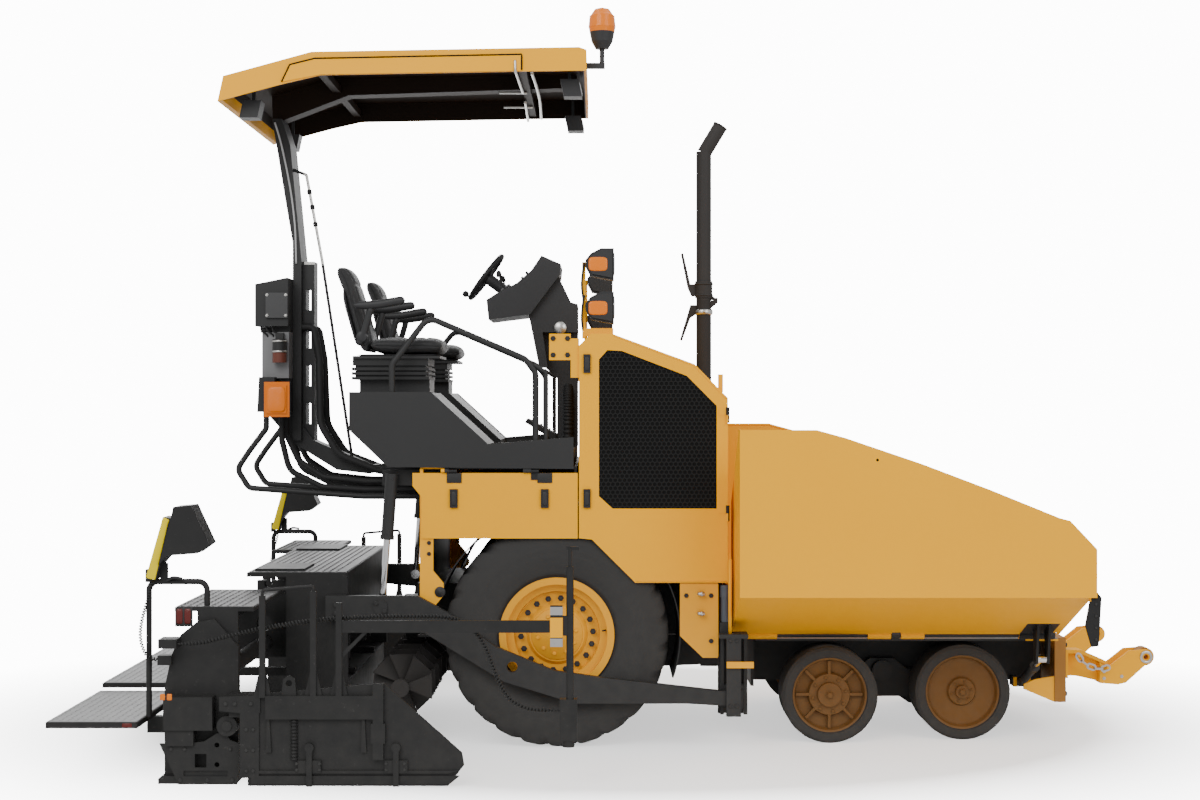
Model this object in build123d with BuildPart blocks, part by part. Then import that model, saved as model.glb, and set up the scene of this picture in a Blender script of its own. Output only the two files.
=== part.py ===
"""Small wheeled asphalt paver with hopper, operator platform, canopy and extending screed.

Millimetres. +X points forward to the push rollers, +Y to the left, +Z up from the ground.
The right-hand side is drawn first, at negative Y, and the left-hand one is its mirror image.
Offsets called inner and outer are distances from the middle plane, whatever the side.
"""

import os
from math import atan2, degrees, radians, tan

from build123d import *

# Running clearances
gap = 0.3
pin_play = 0.3

# Rear drive wheels
drive_x, drive_z = -388, 545
drive_tyre_radius = 545
drive_tread_radius = 520
drive_tyre_inner, drive_tyre_outer = 485, 850
drive_bead_radius = 262
drive_flange_radius = 280
drive_lugs = 18
lug_width = 62

# Front wheels, rear pair then front pair: axle place, outer face, king pin distance, steering share
small_wheel_radius = 235
small_wheel_width = 220
small_rim_radius = 184
small_axle_z = 235
king_pin_inset = 40
king_pin_radius = 18
front_pairs = {"a": (953, 714), "b": (1624, 620)}
small_hubs = {
    "a": {"flange": 100, "nut": 62, "disc_depth": 58, "ribs": 8},
    "b": {"flange": 65, "nut": 35, "disc_depth": 46, "ribs": 0},
}
bogie_pivot_x, bogie_pivot_z = 1270, 300

# Main frame
rail_inner, rail_outer = 205, 225
bogie_inner, bogie_outer = 235, 285
tunnel_half = 425
tunnel_wall = 15
tunnel_top = 760
pan_top, pan_thickness = 500, 12
pan_half = 598
frame_front, frame_rear = 2104, -1100
bumper_thickness, bumper_half = 56, 520
bumper_low, bumper_high = 171, 494

# Push arms and rollers
roller_x, roller_z, roller_radius, roller_bore = 2563, 397, 45, 13
arm_plate = 18
push_arm_inner, push_arm_outer = 400, 520

# Hopper
wing_hinge_y, wing_hinge_z = pan_half + 22, 520
wing_outer = 1250
wing_sheet = 10
wing_rear, wing_front = 470, 2126
wing_hinge_radius, wing_pin_radius = 20, 12
wing_floor_drop_z = 770
hinge_ears = ((505, 540), (1270, 1310), (2040, 2080))
hinge_barrels = ((545, 700), (1150, 1265), (1315, 1430), (1900, 2035))
cylinder_x = 1985
wing_foot_y, wing_foot_z = 300, 240
wing_head_y, wing_head_z = 750, 420
cylinder_pin, cylinder_radius, cylinder_rod = 10, 22, 12
wing_profile = [
    (wing_rear, 1548),
    (827, 1548),
    (961, 1511),
    (1314, 1391),
    (1628, 1272),
    (1953, 1140),
    (2000, 1128),
    (wing_front, 994),
    (wing_front, wing_floor_drop_z),
    (wing_rear, wing_floor_drop_z),
]

# Hood lamps
lamp_rear = -249

# Exhaust stack
stack_x, stack_radius = 371, 40
fold_x, fold_z = 432, 2215

# Hood
hood_outer = 855
hood_front, hood_rear, hood_top = 441, -280, 2008
hood_sheet = 8
engine_deck_top = 1172
door_sheet = 8
door_plane = hood_outer + 0.5
knuckle_radius, knuckle_pin = 7.5, 3.5
door_hinge_x = hood_front - 0.5
hinge_line = door_plane + door_sheet + knuckle_radius + 0.6
panel_hinge_z = 1343
door_hinges = (1576, 1101)
panel_hinges = (-947, -550)
hinge_length = 38
hood_profile = [
    (-280, 1018),
    (-280, 1950),
    (-222, 2008),
    (-119, 2008),
    (279, 1861),
    (441, 1697),
    (441, 803),
    (-7, 803),
    (-217, 1012),
]
grille_opening = [
    (-183, 1222),
    (-183, 1883),
    (-142, 1928),
    (-71, 1924),
    (243, 1803),
    (386, 1659),
    (386, 1162),
    (-117, 1162),
]
grille_pitch = 92
grille_bar = 16

# Platform
platform_outer = 865
rail_y, rail_tube = 850, 15
platform_low, platform_floor_z = 1363, 1445
deck_z = 1722
skirt_profile = [
    (-1391, 1726),
    (-995, 1726),
    (-719, 1474),
    (-306, 1508),
    (-306, 1354),
    (-1203, 1363),
    (-1391, 1542),
]
seat_y = 585
seat_x = -1170
cushion_low = 1903

# Canopy
roof_outer = 788
roof_sheet = 12
roof_profile = [
    (-2044, 3144),
    (-2017, 3268),
    (-1586, 3386),
    (-280, 3409),
    (-244, 3396),
    (-244, 3294),
    (-560, 3290),
    (-1540, 3272),
    (-1710, 3233),
]

# Screed
tow_x, tow_z = 470, 250
screed_half = 845
arm_inner, arm_thickness = screed_half + 20, 40
arm_outer = arm_inner + arm_thickness
arm_pin_radius = 24
guide_inner = arm_inner - 50
extension_inner, extension_outer = screed_half + 25, 1700
gate_inner = extension_outer + 45
gate_plate, gate_thickness = 12, 31
gate_outer = gate_inner + gate_thickness
plate_shift_left = 95
slide_tubes = (
    # place and radius on the right, and how much higher the left-hand one lies
    {"x": -1820, "z": 500, "radius": 38, "left_rise": 95},
    {"x": -1915, "z": 675, "radius": 22, "left_rise": 50},
)
guide_tops = {-1: 742, 1: 798}
extension_deck_tops = {-1: 770, 1: 822}
lift_pin_radius = 12
lift_x, lift_y = -1190, arm_inner - 35
lift_top_z, lift_bottom_z = 1310, 690
auger_x, auger_z, auger_radius = -1150, 285, 150
auger_shaft, auger_pitch, blade_count = 30, 200, 8
remote_cord_diameter, sensor_cord_diameter = 18, 22


def side_slab(points, inner, outer, mode=Mode.ADD):
    """A plate on the right side, its outline in X and Z, from inner to outer."""
    with BuildSketch(Plane.XZ.offset(inner)) as outline:
        Polygon(*points, align=None)
    extrude(outline.sketch, amount=outer - inner, mode=mode)


def side_disc(x, z, radius, inner, outer, mode=Mode.ADD):
    """A round boss or bore along Y on the right side, from inner to outer."""
    with BuildSketch(Plane.XZ.offset(inner)) as outline:
        with Locations((x, z)):
            Circle(radius)
    extrude(outline.sketch, amount=outer - inner, mode=mode)


def block(x, y, z, mode=Mode.ADD):
    """A box between low and high limits on each axis."""
    with Locations(((x[0] + x[1]) / 2, (y[0] + y[1]) / 2, (z[0] + z[1]) / 2)):
        Box(x[1] - x[0], y[1] - y[0], z[1] - z[0], mode=mode)


def turned(x, z, section):
    """A ring about the axle at x, z, its section given as distance from the middle plane and radius."""
    with BuildSketch(Plane.YZ.offset(x)) as outline:
        Polygon(*[(-out, z + radius) for out, radius in section], align=None)
    revolve(outline.sketch, axis=Axis((x, 0, z), (0, 1, 0)))


def rod(start, end, radius, mode=Mode.ADD):
    """A round bar from start to end."""
    run = Vector(*end) - Vector(*start)
    with BuildSketch(Plane(origin=start, z_dir=run)) as outline:
        Circle(radius)
    extrude(outline.sketch, amount=run.length, mode=mode)


def bent_tube(points, bends, radius):
    """A round tube along straight runs joined by arcs."""
    with BuildLine() as path:
        FilletPolyline(*points, radius=bends)
    with BuildSketch(Plane(origin=path.line @ 0, z_dir=path.line % 0)) as outline:
        Circle(radius)
    sweep(outline.sketch, path=path.line)


pieces = {}


def both_sides(name, right):
    """Keeps the right-hand piece and its mirror image as two nodes."""
    with BuildPart() as left:
        mirror(right.part, about=Plane.XZ)
    pieces[f"{name}_right"] = right
    pieces[f"{name}_left"] = left


# Rear tyre with shoulder lugs
with BuildPart() as rear_tyre:
    turned(
        drive_x,
        drive_z,
        [
            (drive_tyre_inner + 35, drive_bead_radius),
            (drive_tyre_inner + 32, drive_flange_radius + 4),
            (drive_tyre_inner + 8, 330),
            (drive_tyre_inner, 420),
            (drive_tyre_inner + 12, drive_tread_radius - 25),
            (drive_tyre_inner + 40, drive_tread_radius),
            (drive_tyre_outer - 40, drive_tread_radius),
            (drive_tyre_outer - 12, drive_tread_radius - 25),
            (drive_tyre_outer, 420),
            (drive_tyre_outer - 8, 330),
            (drive_tyre_outer - 32, drive_flange_radius + 4),
            (drive_tyre_outer - 35, drive_bead_radius),
        ],
    )
    tyre_middle = (drive_tyre_inner + drive_tyre_outer) / 2
    with BuildPart(mode=Mode.PRIVATE) as lug:
        block(
            (drive_x - lug_width / 2, drive_x + lug_width / 2),
            (-drive_tyre_outer + 14, -tyre_middle - 10),
            (drive_z + drive_tread_radius - 30, drive_z + drive_tyre_radius),
        )
    for row in (0, 1):
        for step in range(drive_lugs):
            turn = 360 / drive_lugs * (step + row / 2)
            one = lug.part.mirror(Plane.XZ.offset(tyre_middle)) if row else lug.part
            add(one.rotate(Axis((drive_x, 0, drive_z), (0, 1, 0)), turn))
both_sides("rear_tyre", rear_tyre)

# Rear rim: seat for the beads, stepped rings, disc and hub cover
with BuildPart() as rear_rim:
    seat = drive_bead_radius - gap
    turned(
        drive_x,
        drive_z,
        [
            (drive_tyre_outer - 31, drive_flange_radius),
            (drive_tyre_outer - 20, drive_flange_radius),
            (drive_tyre_outer - 22, seat - 16),
            (drive_tyre_outer - 60, seat - 16),
            (drive_tyre_outer - 66, 210),
            (drive_tyre_outer - 92, 205),
            (drive_tyre_outer - 92, 150),
            (drive_tyre_outer - 74, 134),
            (drive_tyre_outer - 74, 0),
            (drive_tyre_outer - 104, 0),
            (drive_tyre_outer - 104, 150),
            (drive_tyre_outer - 112, 225),
            (drive_tyre_outer - 112, seat - 14),
            (drive_tyre_inner + 24, seat - 14),
            (drive_tyre_inner + 20, drive_flange_radius),
            (drive_tyre_inner + 31, drive_flange_radius),
            (drive_tyre_inner + 34, seat),
            (drive_tyre_outer - 34, seat),
        ],
    )
both_sides("rear_rim", rear_rim)

# Final drives, bolted to the frame's side walls
with BuildPart() as final_drives:
    drive_root = tunnel_half + tunnel_wall
    side_disc(drive_x, drive_z, 160, drive_root, drive_root + 24)
    side_disc(drive_x, drive_z, 118, drive_root + 24, drive_tyre_outer - 104 - gap)
    mirror(about=Plane.XZ)
pieces["final_drives"] = final_drives

# Front wheels: solid rubber band on a dished rim, open to the king pin
for pair, (axle_x, outer) in front_pairs.items():
    inner = outer - small_wheel_width
    hub = small_hubs[pair]
    with BuildPart() as front_wheel:
        turned(
            axle_x,
            small_axle_z,
            [
                (inner + 8, small_wheel_radius),
                (outer - 8, small_wheel_radius),
                (outer, small_wheel_radius - 14),
                (outer, small_rim_radius + 4),
                (outer - 10, small_rim_radius),
                (outer - 14, small_rim_radius - 10),
                (outer - hub["disc_depth"] + 6, small_rim_radius - 20),
                (outer - hub["disc_depth"], hub["flange"] + 8),
                (outer - 30, hub["flange"]),
                (outer - 30, hub["nut"]),
                (outer - 12, hub["nut"] - 4),
                (outer - 12, 0),
                (outer - 76, 0),
                (outer - 76, 108),
                (outer - 72, small_rim_radius - 12),
                (inner + 10, small_rim_radius - 12),
                (inner, small_rim_radius),
                (inner, small_wheel_radius - 14),
            ],
        )
        for rib in range(hub["ribs"]):
            with BuildPart(mode=Mode.PRIVATE) as web:
                block(
                    (axle_x - 7, axle_x + 7),
                    (-outer + 32, -outer + hub["disc_depth"]),
                    (small_axle_z + hub["flange"] - 5, small_axle_z + small_rim_radius - 18),
                )
            add(web.part.rotate(Axis((axle_x, 0, small_axle_z), (0, 1, 0)), 360 / hub["ribs"] * rib))
    both_sides(f"front_wheel_{pair}", front_wheel)

    # Steering knuckle: king pin, block and stub axle
    pin_y = inner + king_pin_inset
    with BuildPart() as knuckle:
        block((axle_x - 30, axle_x + 30), (-pin_y - 30, -pin_y + 28), (small_axle_z - 45, small_axle_z + 45))
        with BuildSketch(Plane.XY.offset(small_axle_z - 80)):
            with Locations((axle_x, -pin_y)):
                Circle(king_pin_radius)
        extrude(amount=160)
        side_disc(axle_x, small_axle_z, 32, pin_y + 20, outer - 76 - gap)
    both_sides(f"knuckle_{pair}", knuckle)

# Bogie beams with the forked ears that hold the king pins
with BuildPart() as bogie_beams:
    first_x, last_x = front_pairs["a"][0], front_pairs["b"][0]
    side_slab(
        [
            (first_x - 60, 165),
            (last_x + 60, 165),
            (last_x + 60, 305),
            (bogie_pivot_x + 130, 305),
            (bogie_pivot_x + 60, 360),
            (bogie_pivot_x - 60, 360),
            (bogie_pivot_x - 130, 305),
            (first_x - 60, 305),
        ],
        bogie_inner,
        bogie_outer,
    )
    for axle_x, outer in front_pairs.values():
        pin_y = outer - small_wheel_width + king_pin_inset
        for low, high in ((-76, -48), (48, 76)):
            ear = (small_axle_z + low, small_axle_z + high)
            block((axle_x - 32, axle_x + 32), (-pin_y - 28, -bogie_outer), ear)
            with BuildSketch(Plane.XY.offset(ear[0])):
                with Locations((axle_x, -pin_y)):
                    Circle(king_pin_radius + pin_play)
            extrude(amount=ear[1] - ear[0], mode=Mode.SUBTRACT)
    side_disc(bogie_pivot_x, bogie_pivot_z, 52, bogie_outer, bogie_outer + 30)
    mirror(about=Plane.XZ)
pieces["bogie_beams"] = bogie_beams

# Main frame: tunnel walls and roof, front rails, hopper pan, bumper, side brackets
with BuildPart() as main_frame:
    wall_inner, wall_outer = tunnel_half, tunnel_half + tunnel_wall
    side_slab(
        [
            (frame_rear, 560),
            (frame_rear, tunnel_top),
            (462, tunnel_top),
            (465, 685),
            (600, pan_top - pan_thickness),
            (600, 360),
            (-150, 330),
            (-700, 330),
        ],
        wall_inner,
        wall_outer,
    )
    side_slab(
        [(585, 240), (585, pan_top - pan_thickness), (frame_front, pan_top - pan_thickness), (frame_front, 240)],
        rail_inner,
        rail_outer,
    )
    side_disc(bogie_pivot_x, bogie_pivot_z, 60, rail_outer, bogie_inner)
    block((380, 395), (-hood_outer, -wall_outer), (445, 795))
    block((585, 600), (-wall_outer, -rail_inner), (240, pan_top - pan_thickness))
    side_slab([(209, 800), (209, 545), (320, 439), (393, 439), (393, 800)], hood_outer - 14, hood_outer)
    block((-1050, -1035), (-hood_outer, -wall_outer), (tunnel_top - 200, 1355))
    side_slab(
        [(-1050, 1330), (-1050, 640), (-1020, 640), (-935, 740), (-935, 800), (-985, 860), (-985, 1330)],
        hood_outer - 14,
        hood_outer,
    )
    block((-1240, -1050), (-lift_y + 40, -lift_y + 60), (1270, 1345))
    block((-1060, -1050), (-lift_y + 40, -wall_outer), (1270, 1330))
    side_disc(lift_x, lift_top_z, lift_pin_radius, lift_y - 45, lift_y + 30)
    for low in panel_hinges:
        block((low, low + hinge_length), (-hinge_line - 2, -hood_outer + 15), (1350, 1355))
        rod((low, -hinge_line, panel_hinge_z), (low + hinge_length, -hinge_line, panel_hinge_z), knuckle_radius)
        rod((low, -hinge_line, panel_hinge_z), (low + 2 * hinge_length, -hinge_line, panel_hinge_z), knuckle_pin)
    side_slab(
        [(frame_front, bumper_low), (frame_front, 300), (2010, 285), (1950, 260), (1950, 235)],
        bumper_half - 20,
        bumper_half - 6,
    )
    rod((cylinder_x - 40, -wing_foot_y, wing_foot_z), (cylinder_x + 40, -wing_foot_y, wing_foot_z), cylinder_pin)
    for low, high in ((-44, -27), (27, 44)):
        block(
            (cylinder_x + low, cylinder_x + high),
            (-wing_foot_y - 22, -rail_outer),
            (wing_foot_z, wing_foot_z + 26),
        )
        side = [
            (cylinder_x + low, wing_foot_z - 22),
            (cylinder_x + high, wing_foot_z - 22),
            (cylinder_x + high, wing_foot_z + 1),
            (cylinder_x + low, wing_foot_z + 1),
        ]
        side_slab(side, rail_outer, wing_foot_y + 22)
    with BuildSketch(Plane.YZ.offset(505)):
        with Locations((-wing_hinge_y, wing_hinge_z)):
            Circle(wing_pin_radius)
    extrude(amount=2080 - 505)
    for low, high in hinge_ears:
        with BuildSketch(Plane.YZ.offset(low)):
            Polygon(
                (-pan_half + 30, pan_top - pan_thickness),
                (-pan_half + 30, pan_top + 22),
                (-wing_hinge_y, wing_hinge_z + 20),
                (-wing_hinge_y - 18, wing_hinge_z),
                (-wing_hinge_y, pan_top),
                align=None,
            )
        extrude(amount=high - low)
    mirror(about=Plane.XZ)
    block((442 + gap, 460), (-wing_hinge_y, wing_hinge_y), (tunnel_top + gap, 1500))
    block((380, 460), (-wall_outer, wall_outer), (tunnel_top, tunnel_top + 10))
    block((auger_x - 50, auger_x + 50), (-50, 50), (auger_z - 100, 560))
    block((-1250, -1100), (-420, 420), (560, 620))
    block((frame_rear, 462), (-wall_outer, wall_outer), (tunnel_top - 10, tunnel_top))
    block((frame_rear, 600), (-wall_outer, wall_outer), (pan_top - pan_thickness, pan_top))
    block((600, frame_front), (-pan_half, pan_half), (pan_top - pan_thickness, pan_top))
    block((600, frame_front), (-rail_outer, rail_outer), (240, 252))
    block((frame_front, frame_front + bumper_thickness), (-bumper_half, bumper_half), (bumper_low, bumper_high))
    block(
        (frame_front, frame_front + bumper_thickness - 12),
        (-bumper_half + 12, bumper_half - 12),
        (bumper_low + 12, bumper_high - 60),
        mode=Mode.SUBTRACT,
    )
    block((-1050, 380), (-hood_outer + 60, hood_outer - 60), (engine_deck_top - 10, engine_deck_top))
    block((-1050, -1035), (-wall_outer, wall_outer), (tunnel_top, 1355))
    block((380, 395), (-wall_outer, wall_outer), (tunnel_top, engine_deck_top))
    block((-1050, -290), (-hood_outer + 14, hood_outer - 14), (1352, platform_low - gap))
    block((-302, -290), (-hood_outer + 14, hood_outer - 14), (engine_deck_top, 1352))
pieces["main_frame"] = main_frame

# Push arms: a web behind, two plates that hold the roller's hollow axle, and a safety chain
with BuildPart() as push_arms:
    arm_face = frame_front + bumper_thickness + gap
    plate_rear = 2330
    for plate_inner in (push_arm_inner, push_arm_outer - arm_plate):
        side_slab(
            [
                (plate_rear, 266),
                (plate_rear, 372),
                (2372, 345),
                (2477, 428),
                (roller_x, roller_z + 38),
                (roller_x, roller_z - 38),
                (2462, 269),
                (2422, 259),
            ],
            plate_inner,
            plate_inner + arm_plate,
        )
        side_disc(roller_x, roller_z, 38, plate_inner, plate_inner + arm_plate)
    side_slab([(arm_face, 297), (arm_face, 432), (2240, 430), (2372, 372), (2372, 262), (2225, 295)], 450, 466)
    side_slab([(arm_face, 415), (arm_face, 432), (2240, 430), (2372, 372), (2372, 354), (2238, 412)], 412, 508)
    block((arm_face, arm_face + 14), (-508, -412), (290, 420))
    block((plate_rear, plate_rear + 42), (-push_arm_outer + arm_plate, -push_arm_inner - arm_plate), (266, 366))
    side_disc(roller_x, roller_z, 20, push_arm_inner, push_arm_outer)
    side_disc(roller_x, roller_z, roller_bore, push_arm_inner, push_arm_outer, mode=Mode.SUBTRACT)
    side_disc(2216.5, 406.8, 6, 466, 560)
    side_disc(2361.5, 347.8, 6, push_arm_outer, 560)
    mirror(about=Plane.XZ)
pieces["push_arms"] = push_arms

# Safety chains: open links in turn flat to the side and edge on, from the arm's lug down to its plate
chain_y = 545
link_length, link_width, link_wire = 52, 34, 4.5
chain_links = (
    # place along X and height, slope down in degrees, edge on or not
    (2222, 398, 58, False),
    (2249, 369, 38, True),
    (2281, 352, 20, False),
    (2317, 343, 2, True),
    (2352, 345, -16, False),
)
with BuildPart() as safety_chains:
    for link_x, link_z, slope, edge_on in chain_links:
        lean = Location((link_x, -chain_y, link_z), (0, slope, 0))
        link_plane = Plane(lean * Location((0, 0, 0), (0 if edge_on else 90, 0, 0)))
        with BuildSketch(link_plane.offset(-link_wire)):
            SlotOverall(link_length, link_width)
            SlotOverall(link_length - 4 * link_wire, link_width - 4 * link_wire, mode=Mode.SUBTRACT)
        extrude(amount=2 * link_wire)
    mirror(about=Plane.XZ)
pieces["safety_chains"] = safety_chains

# Push rollers
with BuildPart() as push_roller:
    roller_low, roller_high = push_arm_inner + arm_plate + 2, push_arm_outer - arm_plate - 2
    side_disc(roller_x, roller_z, roller_radius, roller_low, roller_high)
    side_disc(roller_x, roller_z, 20 + pin_play, roller_low, roller_high, mode=Mode.SUBTRACT)
both_sides("push_roller", push_roller)

# Conveyors: slats on two chains, right and left of a middle divider
with BuildPart() as conveyors:
    slat_gap = 190
    first_slat, last_slat = frame_rear + 40, 2020
    slats = int((last_slat - first_slat) / slat_gap) + 1
    with Locations(*[(first_slat + i * slat_gap, -212, pan_top + gap + 22) for i in range(slats)]):
        Box(40, 380, 20)
    for chain_y in (-60, -365):
        block((first_slat - 30, last_slat + 30), (chain_y - 12, chain_y + 12), (pan_top + gap, pan_top + gap + 30))
    mirror(about=Plane.XZ)
    block((first_slat - 30, last_slat + 30), (-8, 8), (pan_top + gap, pan_top + 45))
pieces["conveyors"] = conveyors

# Hopper wing: side wall, sloped floor, rear plate, rubber strip at the front corner
with BuildPart() as hopper_wing:
    floor_points = [
        (-wing_hinge_y - 15, wing_hinge_z + 6),
        (-wing_outer, wing_floor_drop_z),
        (-wing_outer, wing_floor_drop_z + 12),
        (-wing_hinge_y - 15, wing_hinge_z + 18),
    ]
    with BuildSketch(Plane.YZ.offset(wing_rear)):
        Polygon(*floor_points, align=None)
    extrude(amount=wing_front - wing_rear - 26)
    side_slab(wing_profile, wing_outer - wing_sheet, wing_outer)
    with BuildSketch(Plane.YZ.offset(wing_rear)):
        Polygon(
            (-wing_hinge_y - 40, wing_hinge_z + 24),
            (-wing_outer, wing_floor_drop_z),
            (-wing_outer, 1548),
            (-wing_outer + 80, 1548),
            (-wing_hinge_y - 40, 1180),
            align=None,
        )
    extrude(amount=wing_sheet)
    for low, high in hinge_barrels:
        with BuildSketch(Plane.YZ.offset(low)):
            with Locations((-wing_hinge_y, wing_hinge_z)):
                Circle(wing_hinge_radius)
        extrude(amount=high - low)
        with BuildSketch(Plane.YZ.offset(low)):
            with Locations((-wing_hinge_y, wing_hinge_z)):
                Circle(wing_pin_radius + pin_play)
        extrude(amount=high - low, mode=Mode.SUBTRACT)
    for low, high in hinge_ears:
        block((low - 4, high + 4), (-wing_hinge_y - 45, -wing_hinge_y + 25), (490, 570), mode=Mode.SUBTRACT)
    for ear_x in (cylinder_x - 34, cylinder_x + 22):
        with BuildSketch(Plane.YZ.offset(ear_x)):
            Polygon(
                (-wing_head_y + 45, 560),
                (-wing_head_y + 20, wing_head_z - 22),
                (-wing_head_y - 20, wing_head_z - 22),
                (-wing_head_y - 60, 600),
                align=None,
            )
        extrude(amount=12)
    side_slab(
        [(2075, 640), (2100, wing_floor_drop_z + 6), (2126, 800), (2150, 770), (2136, 545), (2104, 540)],
        wing_outer - 30,
        wing_outer - 14,
    )
both_sides("hopper_wing", hopper_wing)

# Wing cylinders: barrel on the frame rail, rod eye at the wing's front
with BuildPart() as wing_barrel:
    foot = Vector(cylinder_x, -wing_foot_y, wing_foot_z)
    head = Vector(cylinder_x, -wing_head_y, wing_head_z)
    run = (head - foot).normalized()
    rod(tuple(foot + run * 20), tuple(foot + run * 330), cylinder_radius)
    rod(tuple(foot + run * 300), tuple(foot + run * 330), cylinder_radius + 4)
    rod((cylinder_x - 26.7, -wing_foot_y, wing_foot_z), (cylinder_x + 26.7, -wing_foot_y, wing_foot_z), 24)
    rod(tuple(foot + run * 110), tuple(foot + run * 331), cylinder_rod + pin_play, mode=Mode.SUBTRACT)
    rod(
        (cylinder_x - 60, -wing_foot_y, wing_foot_z),
        (cylinder_x + 60, -wing_foot_y, wing_foot_z),
        cylinder_pin + pin_play,
        mode=Mode.SUBTRACT,
    )
both_sides("wing_barrel", wing_barrel)
with BuildPart() as wing_rod:
    rod(tuple(foot + run * 120), tuple(head), cylinder_rod)
    rod((cylinder_x - 22 + gap, -wing_head_y, wing_head_z), (cylinder_x + 22 - gap, -wing_head_y, wing_head_z), 19)
both_sides("wing_rod", wing_rod)

# Hood shell, open at both sides where the doors hang
with BuildPart() as hood_shell:
    side_slab(hood_profile, -hood_outer, hood_outer)
    inner_hood = [
        (-280 + hood_sheet, 1018 + hood_sheet),
        (-280 + hood_sheet, 1947),
        (-219, 2000),
        (-121, 2000),
        (275, 1854),
        (433, 1694),
        (433, 700),
        (-200, 700),
    ]
    side_slab(inner_hood, -hood_outer, hood_outer, mode=Mode.SUBTRACT)
    engine_bay_floor = engine_deck_top + gap
    engine_bay = [(-300, 780), (-300, engine_bay_floor), (396, engine_bay_floor), (396, 780)]
    side_slab(engine_bay, -hood_outer, hood_outer, mode=Mode.SUBTRACT)
    rod((stack_x, 0, 1740), (stack_x, 0, fold_z - gap), stack_radius)
    for ear_inner, ear_outer in ((14, 20), (-20, -14)):
        side_slab(
            [
                (stack_x + 30, fold_z - 50),
                (fold_x + 12, fold_z - 14),
                (fold_x + 12, fold_z + 12),
                (fold_x - 12, fold_z + 12),
                (fold_x - 12, fold_z - 2),
                (stack_x + 30, fold_z - 2),
            ],
            ear_inner,
            ear_outer,
        )
    side_disc(fold_x, fold_z, 6, -20, 20)
    side_slab(
        [(345, 2190), (300, 2190), (245, 2005), (256, 2000), (300, 2120), (345, 2150)],
        -6,
        6,
    )
    for half in (-1, 1):
        wall = (half * hood_outer, half * (hood_outer - 8))
        block((-320, hood_rear + 1), tuple(sorted(wall)), (1795, 1985))
        block((-424, -320), tuple(sorted(wall)), (1880, 2008))
        post = tuple(sorted((half * 680, half * 720)))
        block((-266, lamp_rear - gap), post, (1990, 2365))
        block((lamp_rear - gap, -112), post, (2000, 2040))
        block((396, 420), tuple(sorted((half * 800, half * 824))), (1725, 1812))
        for low in door_hinges:
            leaf = tuple(sorted((half * 835, half * hood_outer)))
            block((hood_front - 1, hood_front + 6), leaf, (low, low + hinge_length))
            leaf = tuple(sorted((half * (hood_outer - 1), half * hinge_line)))
            block((hood_front + gap, hood_front + 6), leaf, (low, low + hinge_length))
            upright = Vector(door_hinge_x, half * hinge_line, low)
            rod(tuple(upright), tuple(upright + Vector(0, 0, hinge_length)), knuckle_radius)
            rod(tuple(upright), tuple(upright + Vector(0, 0, 2 * hinge_length)), knuckle_pin)
pieces["hood_shell"] = hood_shell

# Engine, a plain block
with BuildPart() as engine_block:
    block((-230, 340), (-330, 330), (engine_deck_top + gap, 1720))
pieces["engine_block"] = engine_block

# Hood side doors with a hexagon grille
with BuildPart() as hood_door:
    side_slab(hood_profile, door_plane, door_plane + door_sheet)
    side_slab(grille_opening, door_plane, door_plane + door_sheet, mode=Mode.SUBTRACT)
    side_slab(grille_opening, door_plane + 1, door_plane + 4)
    with BuildSketch(Plane.XZ.offset(door_plane)):
        with BuildSketch(mode=Mode.PRIVATE) as clip:
            Polygon(*grille_opening, align=None)
            offset(amount=-18)
        with Locations((100, 1540)):
            with HexLocations(grille_pitch / 2, 9, 11):
                RegularPolygon(grille_pitch / 2 - grille_bar / 2, 6, major_radius=False)
        add(clip.sketch, mode=Mode.INTERSECT)
    extrude(amount=10, mode=Mode.SUBTRACT)
    for low in door_hinges:
        start = low + hinge_length + gap
        block(
            (hood_front - 45, door_hinge_x),
            (-hinge_line + knuckle_radius - 2.5, -door_plane - door_sheet + 1),
            (start, start + hinge_length),
        )
        rod((door_hinge_x, -hinge_line, start), (door_hinge_x, -hinge_line, start + hinge_length), knuckle_radius)
        rod(
            (door_hinge_x, -hinge_line, start - 1),
            (door_hinge_x, -hinge_line, start + hinge_length + 1),
            knuckle_pin + pin_play,
            mode=Mode.SUBTRACT,
        )
    for low in (1818, 1166):
        block((-258, -224), (-door_plane - door_sheet - 12, -door_plane - door_sheet), (low, low + 90))
both_sides("hood_door", hood_door)

# Rear side panels, hinged along their top edges
with BuildPart() as rear_panel:
    side_slab(
        [(-1085, 1334), (-286, 1334), (-286, 1017), (-1042, 1017), (-1042, 1218), (-1085, 1271)],
        door_plane,
        door_plane + door_sheet,
    )
    for low in panel_hinges:
        start = low + hinge_length + gap
        block(
            (start, start + hinge_length),
            (-hinge_line + knuckle_radius - 2.5, -door_plane - door_sheet + 1),
            (1300, panel_hinge_z),
        )
        rod((start, -hinge_line, panel_hinge_z), (start + hinge_length, -hinge_line, panel_hinge_z), knuckle_radius)
        rod(
            (start - 1, -hinge_line, panel_hinge_z),
            (start + hinge_length + 1, -hinge_line, panel_hinge_z),
            knuckle_pin + pin_play,
            mode=Mode.SUBTRACT,
        )
    for handle_x in (-904, -464):
        block((handle_x, handle_x + 38), (-door_plane - door_sheet - 12, -door_plane - door_sheet), (1166, 1256))
both_sides("rear_panel", rear_panel)

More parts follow.
